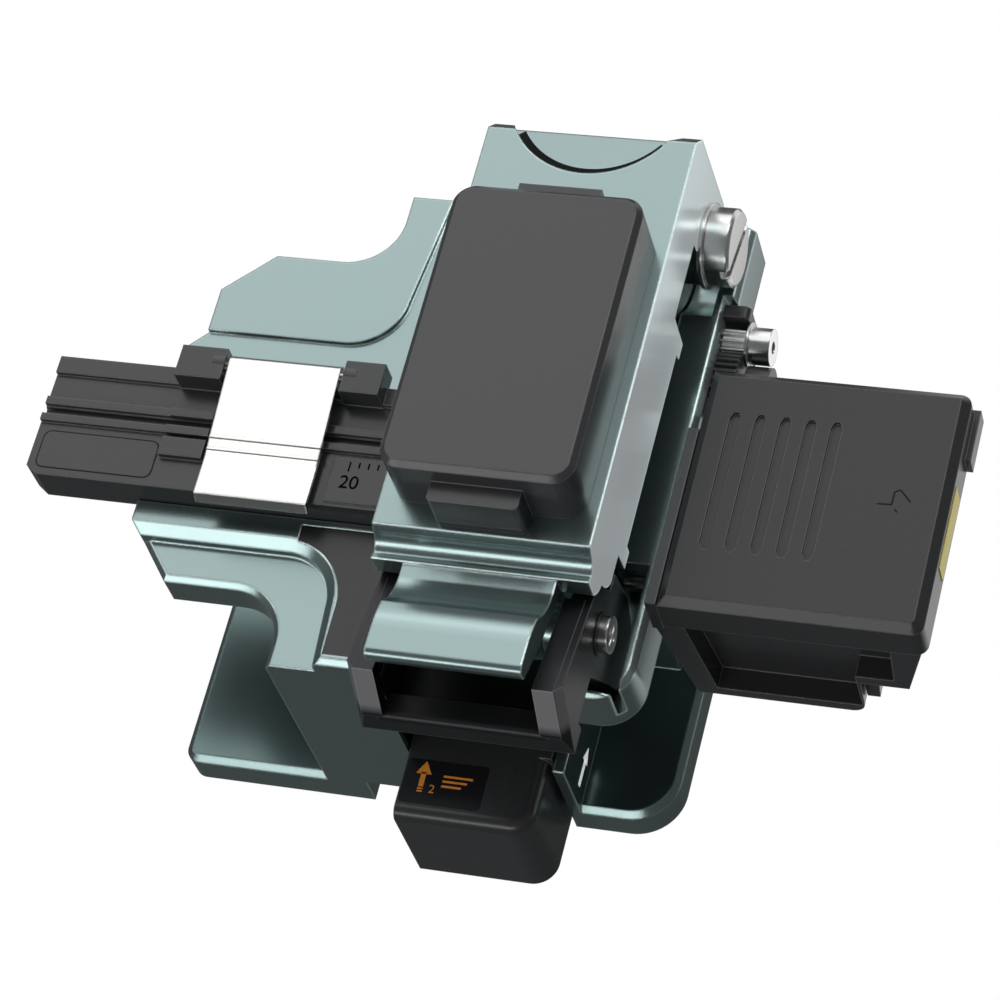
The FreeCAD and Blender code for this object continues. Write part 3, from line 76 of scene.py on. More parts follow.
# %% [markdown]
# The camera looks down at the front right corner.
# Its place and tilt are the ones that make the model's parallel edges meet where the photograph's do.
# The three vectors are the camera's own right, down and forward directions in the model's frame.
# A camera looks along its own -z with +y up, so the last two change sign. The three are the columns of
# its rotation matrix, and no angle has to be worked out.

# %% Camera
CAMERA_PLACE_MM = Vector((110.264, -178.466, 351.663))
CAMERA_RIGHT = Vector((0.94822149, 0.23781436, -0.21052397))
CAMERA_DOWN = Vector((0.10258063, -0.85662595, -0.50563741))
CAMERA_FORWARD = Vector((-0.30058814, 0.45786057, -0.83666628))
SENSOR_MM = 36.0
FOCAL_PIXELS = 3870.0
IMAGE_PIXELS = 1000.0
FARTHEST_SEEN = 10.0

camera_data = bpy.data.cameras.new("camera")
camera_data.sensor_width = SENSOR_MM
camera_data.lens = FOCAL_PIXELS / IMAGE_PIXELS * SENSOR_MM
camera_data.clip_end = FARTHEST_SEEN
camera = bpy.data.objects.new("camera", camera_data)
camera_turn = Matrix((CAMERA_RIGHT, -CAMERA_DOWN, -CAMERA_FORWARD)).transposed()
camera.matrix_world = Matrix.Translation(CAMERA_PLACE_MM * MM) @ camera_turn.to_4x4()
bpy.context.scene.collection.objects.link(camera)
bpy.context.scene.camera = camera
print("lens:", round(camera_data.lens, 2), "mm")

# %% [markdown]
# A product photograph on white is lit by large soft lamps, and what is dark round it draws the edges.
# The upper faces mirror the space behind the object, so the broad lamp stands there and is seen whole.
# The thumb scoop mirrors a lamp low in the rear, and chamfers and folds mirror a wide strip in front.
# One at the right lights the deck's edge and the arm's side, and a small one fills from the left.
# Area lamps are used and not suns, because a mirror-like face shows the lamp's own shape.
# The view transform is Standard, so a colour comes out about as it is written.

# %% Lamps
scene = bpy.context.scene
scene.view_settings.view_transform = "Standard"
LAMP_TARGET = Vector((0.0, 0.0, 0.025))


def add_lamp(name, place, size, power):
    data = bpy.data.lights.new(name, "AREA")
    data.shape = "RECTANGLE"
    data.size, data.size_y = size
    data.energy = power
    lamp = bpy.data.objects.new(name, data)
    lamp.location = place
    lamp.rotation_euler = (LAMP_TARGET - Vector(place)).to_track_quat("-Z", "Y").to_euler()
    scene.collection.objects.link(lamp)
    print(name, power, "W")


add_lamp("top_lamp", place=(-0.30, 0.45, 0.85), size=(1.00, 0.80), power=3.35)
add_lamp("right_lamp", place=(0.44, 0.46, 0.82), size=(0.40, 0.60), power=2.2)
add_lamp("rear_lamp", place=(-0.30, 0.85, 0.50), size=(1.00, 0.50), power=2.0)
add_lamp("front_strip", place=(-0.27, -0.74, 0.39), size=(1.20, 0.22), power=3.0)
add_lamp("left_lamp", place=(-0.70, -0.10, 0.40), size=(0.30, 0.40), power=0.5)

# %% [markdown]
# The world round the object is a white sky. The camera sees it at full strength, as white paper, and
# would see the same through something clear. For every other ray it is dim, so that the lamps and not
# the sky draw the highlights on the metal.

# %% World
SKY_LIGHT = 0.20
SKY_SEEN = 1.0

world = bpy.data.worlds.new("studio")
scene.world = world
world.use_nodes = True
sky_nodes = world.node_tree.nodes
sky_nodes.clear()
sky_output = sky_nodes.new("ShaderNodeOutputWorld")
background = sky_nodes.new("ShaderNodeBackground")
sky_rays = sky_nodes.new("ShaderNodeLightPath")
straight = sky_nodes.new("ShaderNodeMath")
straight.operation = "MAXIMUM"
sky_strength = sky_nodes.new("ShaderNodeMapRange")
sky_strength.inputs["To Min"].default_value = SKY_LIGHT
sky_strength.inputs["To Max"].default_value = SKY_SEEN
sky_link = world.node_tree.links.new
sky_link(sky_rays.outputs["Is Camera Ray"], straight.inputs[0])
sky_link(sky_rays.outputs["Is Transmission Ray"], straight.inputs[1])
sky_link(straight.outputs[0], sky_strength.inputs["Value"])
sky_link(sky_strength.outputs["Result"], background.inputs["Strength"])
sky_link(background.outputs[0], sky_output.inputs["Surface"])
print("sky light:", SKY_LIGHT)

# %% [markdown]
# Two effects are shared by most of the finishes: fine grain and a painted highlight along the edges.
# Each could be repeated in every material, but as a node group it is built once and mended once.
# This helper makes an empty group with its named inputs and outputs.

# %% Group maker
def new_group(name, inputs, outputs):
    group = bpy.data.node_groups.new(name, "ShaderNodeTree")
    for label, value in inputs:
        socket = group.interface.new_socket(label, in_out="INPUT", socket_type="NodeSocketFloat")
        socket.default_value = value
    for label, kind in outputs:
        group.interface.new_socket(label, in_out="OUTPUT", socket_type=kind)
    return group, group.nodes.new("NodeGroupInput"), group.nodes.new("NodeGroupOutput")


# %% [markdown]
# Bead-blasted metal and moulded plastic have a very small grain.
# A fine noise gives the height of the grain, and a broad one lets the gloss drift a little round its
# middle value, because no real skin has the same gloss all over.

# %% Fine grain
GRAIN_DETAIL = 3.0
DRIFT_SCALE = 90.0
DRIFT_DETAIL = 4.0
NOISE_MIDDLE = 0.5


def grain_group():
    group, entry, result = new_group(
        "fine_grain",
        [("Scale", 4000.0), ("Spread", 0.06), ("Roughness", 0.4)],
        [("Height", "NodeSocketFloat"), ("Roughness", "NodeSocketFloat")])
    place = group.nodes.new("ShaderNodeTexCoord")
    fine = group.nodes.new("ShaderNodeTexNoise")
    fine.inputs["Detail"].default_value = GRAIN_DETAIL
    drift = group.nodes.new("ShaderNodeTexNoise")
    drift.inputs["Scale"].default_value = DRIFT_SCALE
    drift.inputs["Detail"].default_value = DRIFT_DETAIL
    centred = group.nodes.new("ShaderNodeMath")
    centred.operation = "SUBTRACT"
    centred.inputs[1].default_value = NOISE_MIDDLE
    gloss = group.nodes.new("ShaderNodeMath")
    gloss.operation = "MULTIPLY_ADD"
    link = group.links.new
    link(place.outputs["Object"], fine.inputs["Vector"])
    link(place.outputs["Object"], drift.inputs["Vector"])
    link(entry.outputs["Scale"], fine.inputs["Scale"])
    link(drift.outputs["Fac"], centred.inputs[0])
    link(centred.outputs[0], gloss.inputs[0])
    link(entry.outputs["Spread"], gloss.inputs[1])
    link(entry.outputs["Roughness"], gloss.inputs[2])
    link(fine.outputs["Fac"], result.inputs["Height"])
    link(gloss.outputs[0], result.inputs["Roughness"])
    return group


GRAIN = grain_group()
print("group:", GRAIN.name)

# %% [markdown]
# No machined or moulded edge is perfectly sharp, and the eye finds an edge by its thin highlight.
# A Bevel modifier would round each solid's mesh, but those meshes are loose triangles and are left alone.
# The Bevel node bends only the normal near an edge, which rounds it for the light.
# Where the bent normal differs from the true one the mask rises, and a paler colour paints a highlight
# along the edge.

# %% Edge light
BEVEL_SAMPLES = 6


def edge_group():
    group, entry, result = new_group(
        "edge_light",
        [("Width", 0.0003), ("Amount", 6.0)],
        [("Mask", "NodeSocketFloat"), ("Normal", "NodeSocketVector")])
    bevel = group.nodes.new("ShaderNodeBevel")
    bevel.samples = BEVEL_SAMPLES
    shape = group.nodes.new("ShaderNodeNewGeometry")
    likeness = group.nodes.new("ShaderNodeVectorMath")
    likeness.operation = "DOT_PRODUCT"
    difference = group.nodes.new("ShaderNodeMath")
    difference.operation = "SUBTRACT"
    difference.inputs[0].default_value = 1.0
    gain = group.nodes.new("ShaderNodeMath")
    gain.operation = "MULTIPLY"
    gain.use_clamp = True
    link = group.links.new
    link(entry.outputs["Width"], bevel.inputs["Radius"])
    link(bevel.outputs["Normal"], likeness.inputs[0])
    link(shape.outputs["Normal"], likeness.inputs[1])
    link(likeness.outputs["Value"], difference.inputs[1])
    link(difference.outputs[0], gain.inputs[0])
    link(entry.outputs["Amount"], gain.inputs[1])
    link(gain.outputs[0], result.inputs["Mask"])
    link(bevel.outputs["Normal"], result.inputs["Normal"])
    return group


EDGE = edge_group()
print("group:", EDGE.name)

# %% [markdown]
# Every finish is a Principled shader fed by those groups.
# A colour that is the same all over is set on the shader's own socket.
# Where a finish has a painted edge highlight, the colour comes from a mix of the face's colour and a
# paler one, which the edge mask drives.

# %% Finish maker
COAT_ROUGHNESS = 0.15
GRAIN_HEIGHT = 0.0002


def finish(name, colour, edge_highlight=None, metallic=0.0, roughness=0.4, spread=0.06, grain=4000.0,
           bump=0.02, edge_width=0.00025, edge_amount=6.0, coat=0.0, specular=0.5):
    material = bpy.data.materials.new(name)
    material.use_nodes = True
    tree = material.node_tree
    link = tree.links.new
    shader = tree.nodes["Principled BSDF"]
    shader.inputs["Metallic"].default_value = metallic
    shader.inputs["Coat Weight"].default_value = coat
    shader.inputs["Coat Roughness"].default_value = COAT_ROUGHNESS
    shader.inputs["Specular IOR Level"].default_value = specular
    shader.inputs["Base Color"].default_value = (*colour, 1.0)
    grains = tree.nodes.new("ShaderNodeGroup")
    grains.node_tree = GRAIN
    grains.inputs["Scale"].default_value = grain
    grains.inputs["Spread"].default_value = spread
    grains.inputs["Roughness"].default_value = roughness
    link(grains.outputs["Roughness"], shader.inputs["Roughness"])
    height = tree.nodes.new("ShaderNodeBump")
    height.inputs["Strength"].default_value = bump
    height.inputs["Distance"].default_value = GRAIN_HEIGHT
    link(grains.outputs["Height"], height.inputs["Height"])
    link(height.outputs["Normal"], shader.inputs["Normal"])
    if edge_highlight is not None:
        edges = tree.nodes.new("ShaderNodeGroup")
        edges.node_tree = EDGE
        edges.inputs["Width"].default_value = edge_width
        edges.inputs["Amount"].default_value = edge_amount
        mix = tree.nodes.new("ShaderNodeMix")
        mix.data_type = "RGBA"
        mix.inputs["A"].default_value = (*colour, 1.0)
        mix.inputs["B"].default_value = (*edge_highlight, 1.0)
        link(edges.outputs["Mask"], mix.inputs["Factor"])
        link(edges.outputs["Normal"], height.inputs["Normal"])
        link(mix.outputs["Result"], shader.inputs["Base Color"])
    return material


# %% [markdown]
# The metals first. The base and the arm are bead-blasted and anodised grey green, the holder's clip is
# polished spring steel, and the screws and the spindle are turned steel.
# A high Metallic value lets the colour tint what the face mirrors, as anodised aluminium does.

# %% Metal finishes
ANODISED_COLOUR = (0.262, 0.345, 0.340)
ANODISED_METAL = 0.88
ANODISED_ROUGHNESS = 0.22
BLASTED_GRAIN = 5200.0
TURNED_GRAIN = 6000.0

# The second colour given to each finish is its painted edge highlight.
ANODISED = finish("grey_green_anodising", ANODISED_COLOUR, (0.80, 0.94, 0.92), metallic=ANODISED_METAL,
                  roughness=ANODISED_ROUGHNESS, spread=0.04, grain=BLASTED_GRAIN, bump=0.03,
                  edge_width=0.00035, edge_amount=8.0)
BLACK_ALLOY = finish("black_anodising", (0.018, 0.019, 0.021), (0.16, 0.16, 0.17), metallic=0.5,
                     roughness=0.36, grain=BLASTED_GRAIN, bump=0.04)
STEEL = finish("turned_steel", (0.66, 0.66, 0.65), (0.80, 0.80, 0.79), metallic=1.0, roughness=0.22,
               grain=TURNED_GRAIN, bump=0.02)
SPRING_STEEL = finish("polished_spring_steel", (0.70, 0.695, 0.68), (0.85, 0.85, 0.83), metallic=1.0,
                      roughness=0.16, grain=TURNED_GRAIN, bump=0.01)
DARK_STEEL = finish("blackened_steel", (0.035, 0.035, 0.037), (0.18, 0.18, 0.18), metallic=0.9,
                    roughness=0.35)
CLAMP_ALLOY = finish("clamp_alloy", (0.42, 0.43, 0.44), (0.7, 0.7, 0.7), metallic=0.95, roughness=0.32)
CARBIDE = finish("ground_carbide", (0.38, 0.38, 0.39), (0.6, 0.6, 0.6), metallic=1.0, roughness=0.25)
print("metal finishes ready")

# %% [markdown]
# The plastics differ in small ways that the light shows: the cover is a shade paler than the holder and
# the bin. The pads are soft rubber, and two plates are printed, one dark and one yellow.
# Black plastic is never pure black, or it would look like a hole.

# %% Plastic, rubber and printed finishes
MOULDED_GRAIN = 3200.0
PRINT_GRAIN = 5000.0

# Here too the second colour is the painted edge highlight.
BLACK_PLASTIC = finish("satin_black_plastic", (0.033, 0.034, 0.036), (0.18, 0.18, 0.185),
                       roughness=0.27, grain=3800.0, bump=0.05, edge_amount=4.0)
COVER_PLASTIC = finish("cover_plastic", (0.044, 0.045, 0.048), (0.20, 0.20, 0.21), roughness=0.26,
                       grain=MOULDED_GRAIN, bump=0.04, edge_width=0.00022, edge_amount=4.0)
BIN_PLASTIC = finish("bin_plastic", (0.032, 0.033, 0.035), (0.20, 0.20, 0.205), roughness=0.27,
                     grain=MOULDED_GRAIN, bump=0.04, edge_width=0.0002, edge_amount=5.0, specular=0.35)
RUBBER = finish("soft_rubber", (0.012, 0.012, 0.013), roughness=0.75, grain=2500.0, bump=0.15)
PRINTED = finish("printed_plate", (0.016, 0.017, 0.018), roughness=0.30, grain=PRINT_GRAIN, bump=0.02)
PATCH = finish("yellow_patch", (0.80, 0.66, 0.02), roughness=0.35, grain=PRINT_GRAIN, bump=0.0)
print("plastic finishes ready")

# %% [markdown]
# The object stands in a white tent, whose walls light some faces and leave others in shade.
# Walls of real white cloth would also show in every other mirror, so a mask picks the faces instead.
# It joins three tests: the way that a face looks, its height, and how far right it lies.
# Places are in metres here, because that is what the Object coordinates give.

# %% Mask for faces that look one way
FACING_STARTS = 0.5
FACING_FULL = 0.9
SIDE_BLEND = 0.0004


def ramp(tree, low, high):
    """A node that rises from 0 to 1 between two values."""
    node = tree.nodes.new("ShaderNodeMapRange")
    node.inputs["From Min"].default_value = low
    node.inputs["From Max"].default_value = high
    return node


def product(tree, first, second):
    node = tree.nodes.new("ShaderNodeMath")
    node.operation = "MULTIPLY"
    tree.links.new(first, node.inputs[0])
    tree.links.new(second, node.inputs[1])
    return node.outputs[0]


def facing(material, direction, low_z, high_z, low_x):
    """A mask for faces that look one way. It rises between two heights, and starts at low_x."""
    tree = material.node_tree
    link = tree.links.new
    shape = tree.nodes.new("ShaderNodeNewGeometry")
    towards = tree.nodes.new("ShaderNodeVectorMath")
    towards.operation = "DOT_PRODUCT"
    towards.inputs[1].default_value = direction
    place = tree.nodes.new("ShaderNodeTexCoord")
    split = tree.nodes.new("ShaderNodeSeparateXYZ")
    turned = ramp(tree, FACING_STARTS, FACING_FULL)
    raised = ramp(tree, low_z, high_z)
    beyond = ramp(tree, low_x, low_x + SIDE_BLEND)
    link(shape.outputs["Normal"], towards.inputs[0])
    link(towards.outputs["Value"], turned.inputs["Value"])
    link(place.outputs["Object"], split.inputs["Vector"])
    link(split.outputs["Z"], raised.inputs["Value"])
    link(split.outputs["X"], beyond.inputs["Value"])
    both = product(tree, turned.outputs["Result"], raised.outputs["Result"])
    return product(tree, both, beyond.outputs["Result"])


# %% [markdown]
# The arm's right side, the spindle's end and the front ends of the latch's arms catch the tent's walls:
# a weak emission under the mask stands for that light.
# Level faces low down lie in the shade of the deck, and a darker colour under the mask stands for it.
# That mask has to fade out upwards, so its two heights are given the other way round.

# %% Light and shade of the tent
TO_THE_RIGHT = (1.0, 0.0, 0.0)
TO_THE_FRONT = (0.0, -1.0, 0.0)
UPWARDS = (0.0, 0.0, 1.0)
EVERYWHERE = -1.0


def tent_light(material, direction, low_z, high_z, low_x, colour, amount):
    tree = material.node_tree
    shader = tree.nodes["Principled BSDF"]
    shader.inputs["Emission Color"].default_value = (*colour, 1.0)
    strength = tree.nodes.new("ShaderNodeMath")
    strength.operation = "MULTIPLY"
    strength.inputs[1].default_value = amount
    tree.links.new(facing(material, direction, low_z, high_z, low_x), strength.inputs[0])
    tree.links.new(strength.outputs[0], shader.inputs["Emission Strength"])


def deep_shade(material, low_z, high_z, colour):
    tree = material.node_tree
    shader = tree.nodes["Principled BSDF"]
    unshaded = shader.inputs["Base Color"].links[0].from_socket
    mix = tree.nodes.new("ShaderNodeMix")
    mix.data_type = "RGBA"
    mix.inputs["B"].default_value = (*colour, 1.0)
    tree.links.new(facing(material, UPWARDS, high_z, low_z, EVERYWHERE), mix.inputs["Factor"])
    tree.links.new(unshaded, mix.inputs["A"])
    tree.links.new(mix.outputs["Result"], shader.inputs["Base Color"])


tent_light(ANODISED, TO_THE_RIGHT, low_z=0.030, high_z=0.0335, low_x=0.0100,
           colour=(0.92, 0.97, 1.0), amount=0.27)
deep_shade(ANODISED, low_z=0.006, high_z=0.012, colour=(0.150, 0.215, 0.210))
tent_light(STEEL, TO_THE_RIGHT, low_z=0.020, high_z=0.024, low_x=0.0165,
           colour=(1.0, 1.0, 1.0), amount=0.28)
tent_light(BLACK_ALLOY, TO_THE_FRONT, low_z=0.0386, high_z=0.0398, low_x=EVERYWHERE,
           colour=(1.0, 1.0, 1.03), amount=0.10)
print("tent ready")

# %% [markdown]
# Each solid names its finish in the record, so one loop dresses them all.
# Round surfaces are many flat facets. Shading them by angle makes them smooth and keeps real edges sharp.

# %% Dress the solids
SMOOTH_BELOW = math.radians(28.0)
FINISHES = {
    "anodised": ANODISED, "black_plastic": BLACK_PLASTIC, "cover_plastic": COVER_PLASTIC,
    "bin_plastic": BIN_PLASTIC, "black_alloy": BLACK_ALLOY, "clamp_alloy": CLAMP_ALLOY, "steel": STEEL,
    "spring_steel": SPRING_STEEL, "black_steel": DARK_STEEL, "blade_carbide": CARBIDE,
    "rubber": RUBBER, "printed_plate": PRINTED, "printed_patch": PATCH,
}

slot_of = {row["node"]: row["material_slot"] for row in frame["record"]["subparts"]}
for name, node in nodes.items():
    node.data.materials.clear()
    node.data.materials.append(FINISHES[slot_of[name]])
    activate(node)
    bpy.ops.object.shade_smooth_by_angle(angle=SMOOTH_BELOW)
deselect()
print("dressed:", len(slot_of))

# %% [markdown]
# Marks that are printed or engraved are too thin for a solid, so they are built as thin plates.
# A picture on the surface would do too, but a plate stays sharp at any distance and needs no file.
# White ink gets a faint painted glow, because it shows white even in the shade.
# The black inks mirror nothing, or the lamps would wash them out.

# %% Inks
WHITE_INK_GLOW = 0.45

INK_ORANGE = finish("orange_ink", (0.85, 0.30, 0.03), roughness=0.45, bump=0.0)
INK_WHITE = finish("white_ink", (0.78, 0.78, 0.77), roughness=0.45, bump=0.0)
white_shader = INK_WHITE.node_tree.nodes["Principled BSDF"]
white_shader.inputs["Emission Color"].default_value = (1.0, 1.0, 1.0, 1.0)
white_shader.inputs["Emission Strength"].default_value = WHITE_INK_GLOW
INK_BLACK = finish("matt_black_ink", (0.003, 0.003, 0.003), roughness=0.6, bump=0.0, specular=0.0)
# Painted shade: the dark that fills engraved and pressed lines, and the scoop's dark crescent.
PAINTED_SHADE = finish("painted_shade_lines", (0.010, 0.010, 0.011), roughness=0.6, bump=0.0, specular=0.1)
SHEET = finish("dark_label_film", (0.012, 0.012, 0.014), roughness=0.16, bump=0.0, coat=0.3)
print("inks ready")

# %% [markdown]
# Every new piece ends the same way: it gets a name and a finish, and rides on the body that carries it.
# Several plates can be one mark. Joining puts them into one mesh, under the first one's name.

# %% Joining and settling
def joined(parts):
    deselect()
    for part in parts:
        part.select_set(True)
    bpy.context.view_layer.objects.active = parts[0]
    bpy.ops.object.join()
    return bpy.context.active_object


def settle(piece, name, look, body):
    piece.name = name
    piece.data.materials.clear()
    piece.data.materials.append(look)
    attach(piece, body)
    print(name, "rides on", body)


# %% [markdown]
# Three simple plates are the start of the marks: a box between two corners, a triangle for an arrow's
# head, and a bar from one point to another. They are given in millimetres.
# A cylinder with three sides is the quickest triangle, and its tip points to the rear by itself.
# Turned a quarter round y, it lies in a face that looks right, with its tip still to the rear.

# %% Boxes, arrow heads and bars
QUARTER_TURN = math.radians(90.0)


def box(low, high):
    bpy.ops.mesh.primitive_cube_add(size=1.0)
    piece = bpy.context.active_object
    piece.scale = [(b - a) * MM for a, b in zip(low, high)]
    piece.location = [(a + b) / 2.0 * MM for a, b in zip(low, high)]
    bpy.ops.object.transform_apply(location=True, rotation=True, scale=True)
    return piece


def arrow_head(centre, radius, thickness, looks_right=False):
    bpy.ops.mesh.primitive_cylinder_add(vertices=3, radius=radius * MM, depth=thickness * MM)
    piece = bpy.context.active_object
    if looks_right:
        piece.rotation_euler = (0.0, QUARTER_TURN, 0.0)
        bpy.ops.object.transform_apply(location=False, rotation=True, scale=False)
    piece.location = [place * MM for place in centre]
    bpy.ops.object.transform_apply(location=True, rotation=False, scale=False)
    return piece


def stroke(start, end, width, low, high):
    """A bar from one (x, y) point to another on a level face."""
    run = Vector((end[0] - start[0], end[1] - start[1], 0.0))
    piece = box((-run.length / 2.0, -width / 2.0, 0.0), (run.length / 2.0, width / 2.0, high - low))
    piece.rotation_euler = (0.0, 0.0, math.atan2(run.y, run.x))
    piece.location = ((start[0] + end[0]) / 2.0 * MM, (start[1] + end[1]) / 2.0 * MM, low * MM)
    activate(piece)
    bpy.ops.object.transform_apply(location=True, rotation=True, scale=True)
    return piece


# %% [markdown]
# Plain numerals are a text object, which lies flat by itself.
# It is made a mesh before its place is applied, because a text object can't hold its place in its mesh.

# %% Numerals
NUMERAL_DEPTH = 0.01


def lettering(text, size, place):
    deselect()
    bpy.ops.object.text_add(location=(0.0, 0.0, 0.0))
    piece = bpy.context.active_object
    piece.data.body = text
    piece.data.size = size * MM
    piece.data.extrude = NUMERAL_DEPTH * MM
    piece.data.align_x = "CENTER"
    piece.data.align_y = "CENTER"
    piece.location = [c * MM for c in place]
    activate(piece)
    bpy.ops.object.convert(target="MESH")
    piece = bpy.context.active_object
    activate(piece)
    bpy.ops.object.transform_apply(location=True, rotation=True, scale=True)
    return piece


# %% [markdown]
# The fibre holder carries a scale: one line for each millimetre of distance from the blade.
# The blade's plane is at x = 0, so each line's distance is also its place.
# The line at 20 is longer than the rest, and a plain 20 stands in front of it.

# %% Scale on the fibre holder
SCALE_TOP = 34.35
SCALE_REAR = -2.35
INK_THICK = 0.03
LINE_HALF = 0.08
LONG_LINE = 1.1
SHORT_LINE = 0.65
NUMBERED_LINE = 20.0
SCALE_NUMERALS = 2.1
SCALE_NUMBER_PLACE = (-19.6, -4.75)

ticks = []
for distance in (NUMBERED_LINE, 19.0, 18.0, 17.0):
    reach = LONG_LINE if distance == NUMBERED_LINE else SHORT_LINE
    ticks.append(box((-distance - LINE_HALF, SCALE_REAR - reach, SCALE_TOP),
                     (-distance + LINE_HALF, SCALE_REAR, SCALE_TOP + INK_THICK)))
settle(joined(ticks), "scale_lines", INK_BLACK, "base")
settle(lettering("20", SCALE_NUMERALS, (*SCALE_NUMBER_PLACE, SCALE_TOP + INK_THICK)),
       "scale_number", INK_BLACK, "base")
print("scale lines:", len(ticks))

# %% [markdown]
# The holder's left end has a shallow rounded outline pressed into it.
# It could be a frame of four bars and four quarter rings. Two plates are simpler: a dark one with rounded
# corners, and on top of it a slightly smaller one in the holder's own plastic, so that only a thin line
# of painted shade is left where the groove holds shade. A plate's corners are rounded in edit mode, by
# bevelling its four upright edges.

# %% Pressed outline on the holder
CORNER_SEGMENTS = 6
SAME_PLACE = 1e-7


def rounded_plate(low, high, radius):
    piece = box(low, high)
    activate(piece)
    bpy.ops.object.mode_set(mode="EDIT")
    bpy.ops.mesh.select_mode(type="EDGE")
    bpy.ops.mesh.select_all(action="DESELECT")
    mesh = bmesh.from_edit_mesh(piece.data)
    for edge in mesh.edges:
        a, b = (vertex.co for vertex in edge.verts)
        edge.select = abs(a.x - b.x) < SAME_PLACE and abs(a.y - b.y) < SAME_PLACE
    bmesh.update_edit_mesh(piece.data)
    bpy.ops.mesh.bevel(offset=radius * MM, segments=CORNER_SEGMENTS, affect="EDGES")
    bpy.ops.object.mode_set(mode="OBJECT")
    return piece


HOLDER_TOP = 34.10
OUTLINE_LOW = (-53.4, -6.6)
OUTLINE_HIGH = (-40.6, -2.2)
OUTLINE_CORNER = 0.9
OUTLINE_THICK = 0.02
OUTLINE_WIDTH = 0.12
FIELD_CORNER = 0.8
FIELD_SEAT = 0.01
FIELD_THICK = 0.035

field_low = [value + OUTLINE_WIDTH for value in OUTLINE_LOW]
field_high = [value - OUTLINE_WIDTH for value in OUTLINE_HIGH]
outline = rounded_plate((*OUTLINE_LOW, HOLDER_TOP), (*OUTLINE_HIGH, HOLDER_TOP + OUTLINE_THICK),
                        OUTLINE_CORNER)
settle(outline, "holder_outline", PAINTED_SHADE, "base")
field = rounded_plate((*field_low, HOLDER_TOP + FIELD_SEAT), (*field_high, HOLDER_TOP + FIELD_THICK),
                      FIELD_CORNER)
settle(field, "holder_field", BLACK_PLASTIC, "base")

# %% [markdown]
# The leaf clip steps down just in front of the fibre, which shows as two rounded creases across it.
# Each crease is a thin rod sunk in the leaf, so that only a sliver of it stands out.

# %% Creases of the leaf clip
ROD_SIDES = 24


def rod(x_low, x_high, y, z, radius):
    bpy.ops.mesh.primitive_cylinder_add(vertices=ROD_SIDES, radius=radius * MM,
                                        depth=(x_high - x_low) * MM)
    piece = bpy.context.active_object
    piece.rotation_euler = (0.0, QUARTER_TURN, 0.0)
    bpy.ops.object.transform_apply(location=False, rotation=True, scale=False)
    piece.location = ((x_low + x_high) / 2.0 * MM, y * MM, z * MM)
    bpy.ops.object.transform_apply(location=True, rotation=False, scale=False)
    activate(piece)
    bpy.ops.object.shade_smooth_by_angle(angle=SMOOTH_BELOW)
    return piece


LEAF_TOP = 35.35
SIDE_INSET = 0.01
leaf_left = end_of("leaf_clip", "x", min) + SIDE_INSET
leaf_right = end_of("leaf_clip", "x", max) - SIDE_INSET
settle(joined([rod(leaf_left, leaf_right, y=-1.8, z=LEAF_TOP - 0.05, radius=0.45),
               rod(leaf_left, leaf_right, y=-3.1, z=LEAF_TOP - 0.20, radius=0.40)]),
       "clip_creases", SPRING_STEEL, "fibre_clip")

# %% [markdown]
# A thin black floor closes the latch frame behind its front bar, so the deck doesn't show through it.
# It reaches from one arm of the frame to the other with slightly rounded corners, and tilts with them.

# %% Floor of the latch frame
FRAME_WALL = 8.42
LATCH_FLOOR_LOW = 35.6
LATCH_FLOOR_THICK = 0.5
LATCH_FLOOR_FRONT = -29.3
LATCH_FLOOR_REAR = -22.5
LATCH_FLOOR_CORNER = 0.25

settle(rounded_plate((-FRAME_WALL, LATCH_FLOOR_FRONT, LATCH_FLOOR_LOW),
                     (FRAME_WALL, LATCH_FLOOR_REAR, LATCH_FLOOR_LOW + LATCH_FLOOR_THICK),
                     LATCH_FLOOR_CORNER),
       "latch_floor", BLACK_ALLOY, "latch")

# %% [markdown]
# The frame's arms are thicker on the inside, in front of and above the lugs that they turn on.
# Each cheek is a plate with two bars in the plane of the arm: one along its sloping top, one down its
# front end. Bars that lean the way the arm's edges do are easier to place than one cut-out plate.

# %% Cheeks of the latch frame
def leaning_bar(x_low, x_high, start, end, thick):
    """A bar from one (y, z) point to another, with its thickness to the right of the way there."""
    run = Vector((end[0] - start[0], end[1] - start[1]))
    piece = box((x_low, 0.0, -thick), (x_high, run.length, 0.0))
    piece.rotation_euler = (math.atan2(run.y, run.x), 0.0, 0.0)
    piece.location = (0.0, start[0] * MM, start[1] * MM)
    activate(piece)
    bpy.ops.object.transform_apply(location=True, rotation=True, scale=True)
    return piece


CHEEK_INNER = 7.8
CHEEK_OUTER = 9.9
CHEEK_BAR = 1.4
CHEEK_TIP = (-29.78, 44.47)
CHEEK_REAR = (-18.60, 41.92)
CHEEK_FOOT = (-31.58, 38.33)
PLATE_LOW = (-29.8, 36.0)
PLATE_HIGH = (-22.4, 41.8)

cheeks = []
for low, high in ((CHEEK_INNER, CHEEK_OUTER), (-CHEEK_OUTER, -CHEEK_INNER)):
    cheeks.append(leaning_bar(low, high, CHEEK_TIP, CHEEK_REAR, CHEEK_BAR))
    cheeks.append(leaning_bar(low, high, CHEEK_FOOT, CHEEK_TIP, CHEEK_BAR))
for low, high in ((CHEEK_INNER, FRAME_WALL), (-FRAME_WALL, -CHEEK_INNER)):
    cheeks.append(box((low, *PLATE_LOW), (high, *PLATE_HIGH)))
settle(joined(cheeks), "latch_cheeks", BLACK_ALLOY, "latch")
print("latch cheeks:", len(cheeks))

# %% [markdown]
# Seen from the front, the left web runs on behind the handle, above the slab.
# Two thin plates close that part of the channel: one over the web's front face, one over the slab.
# Their finish is the web's own without the painted edge highlights, so that no seam is drawn where they
# meet it.

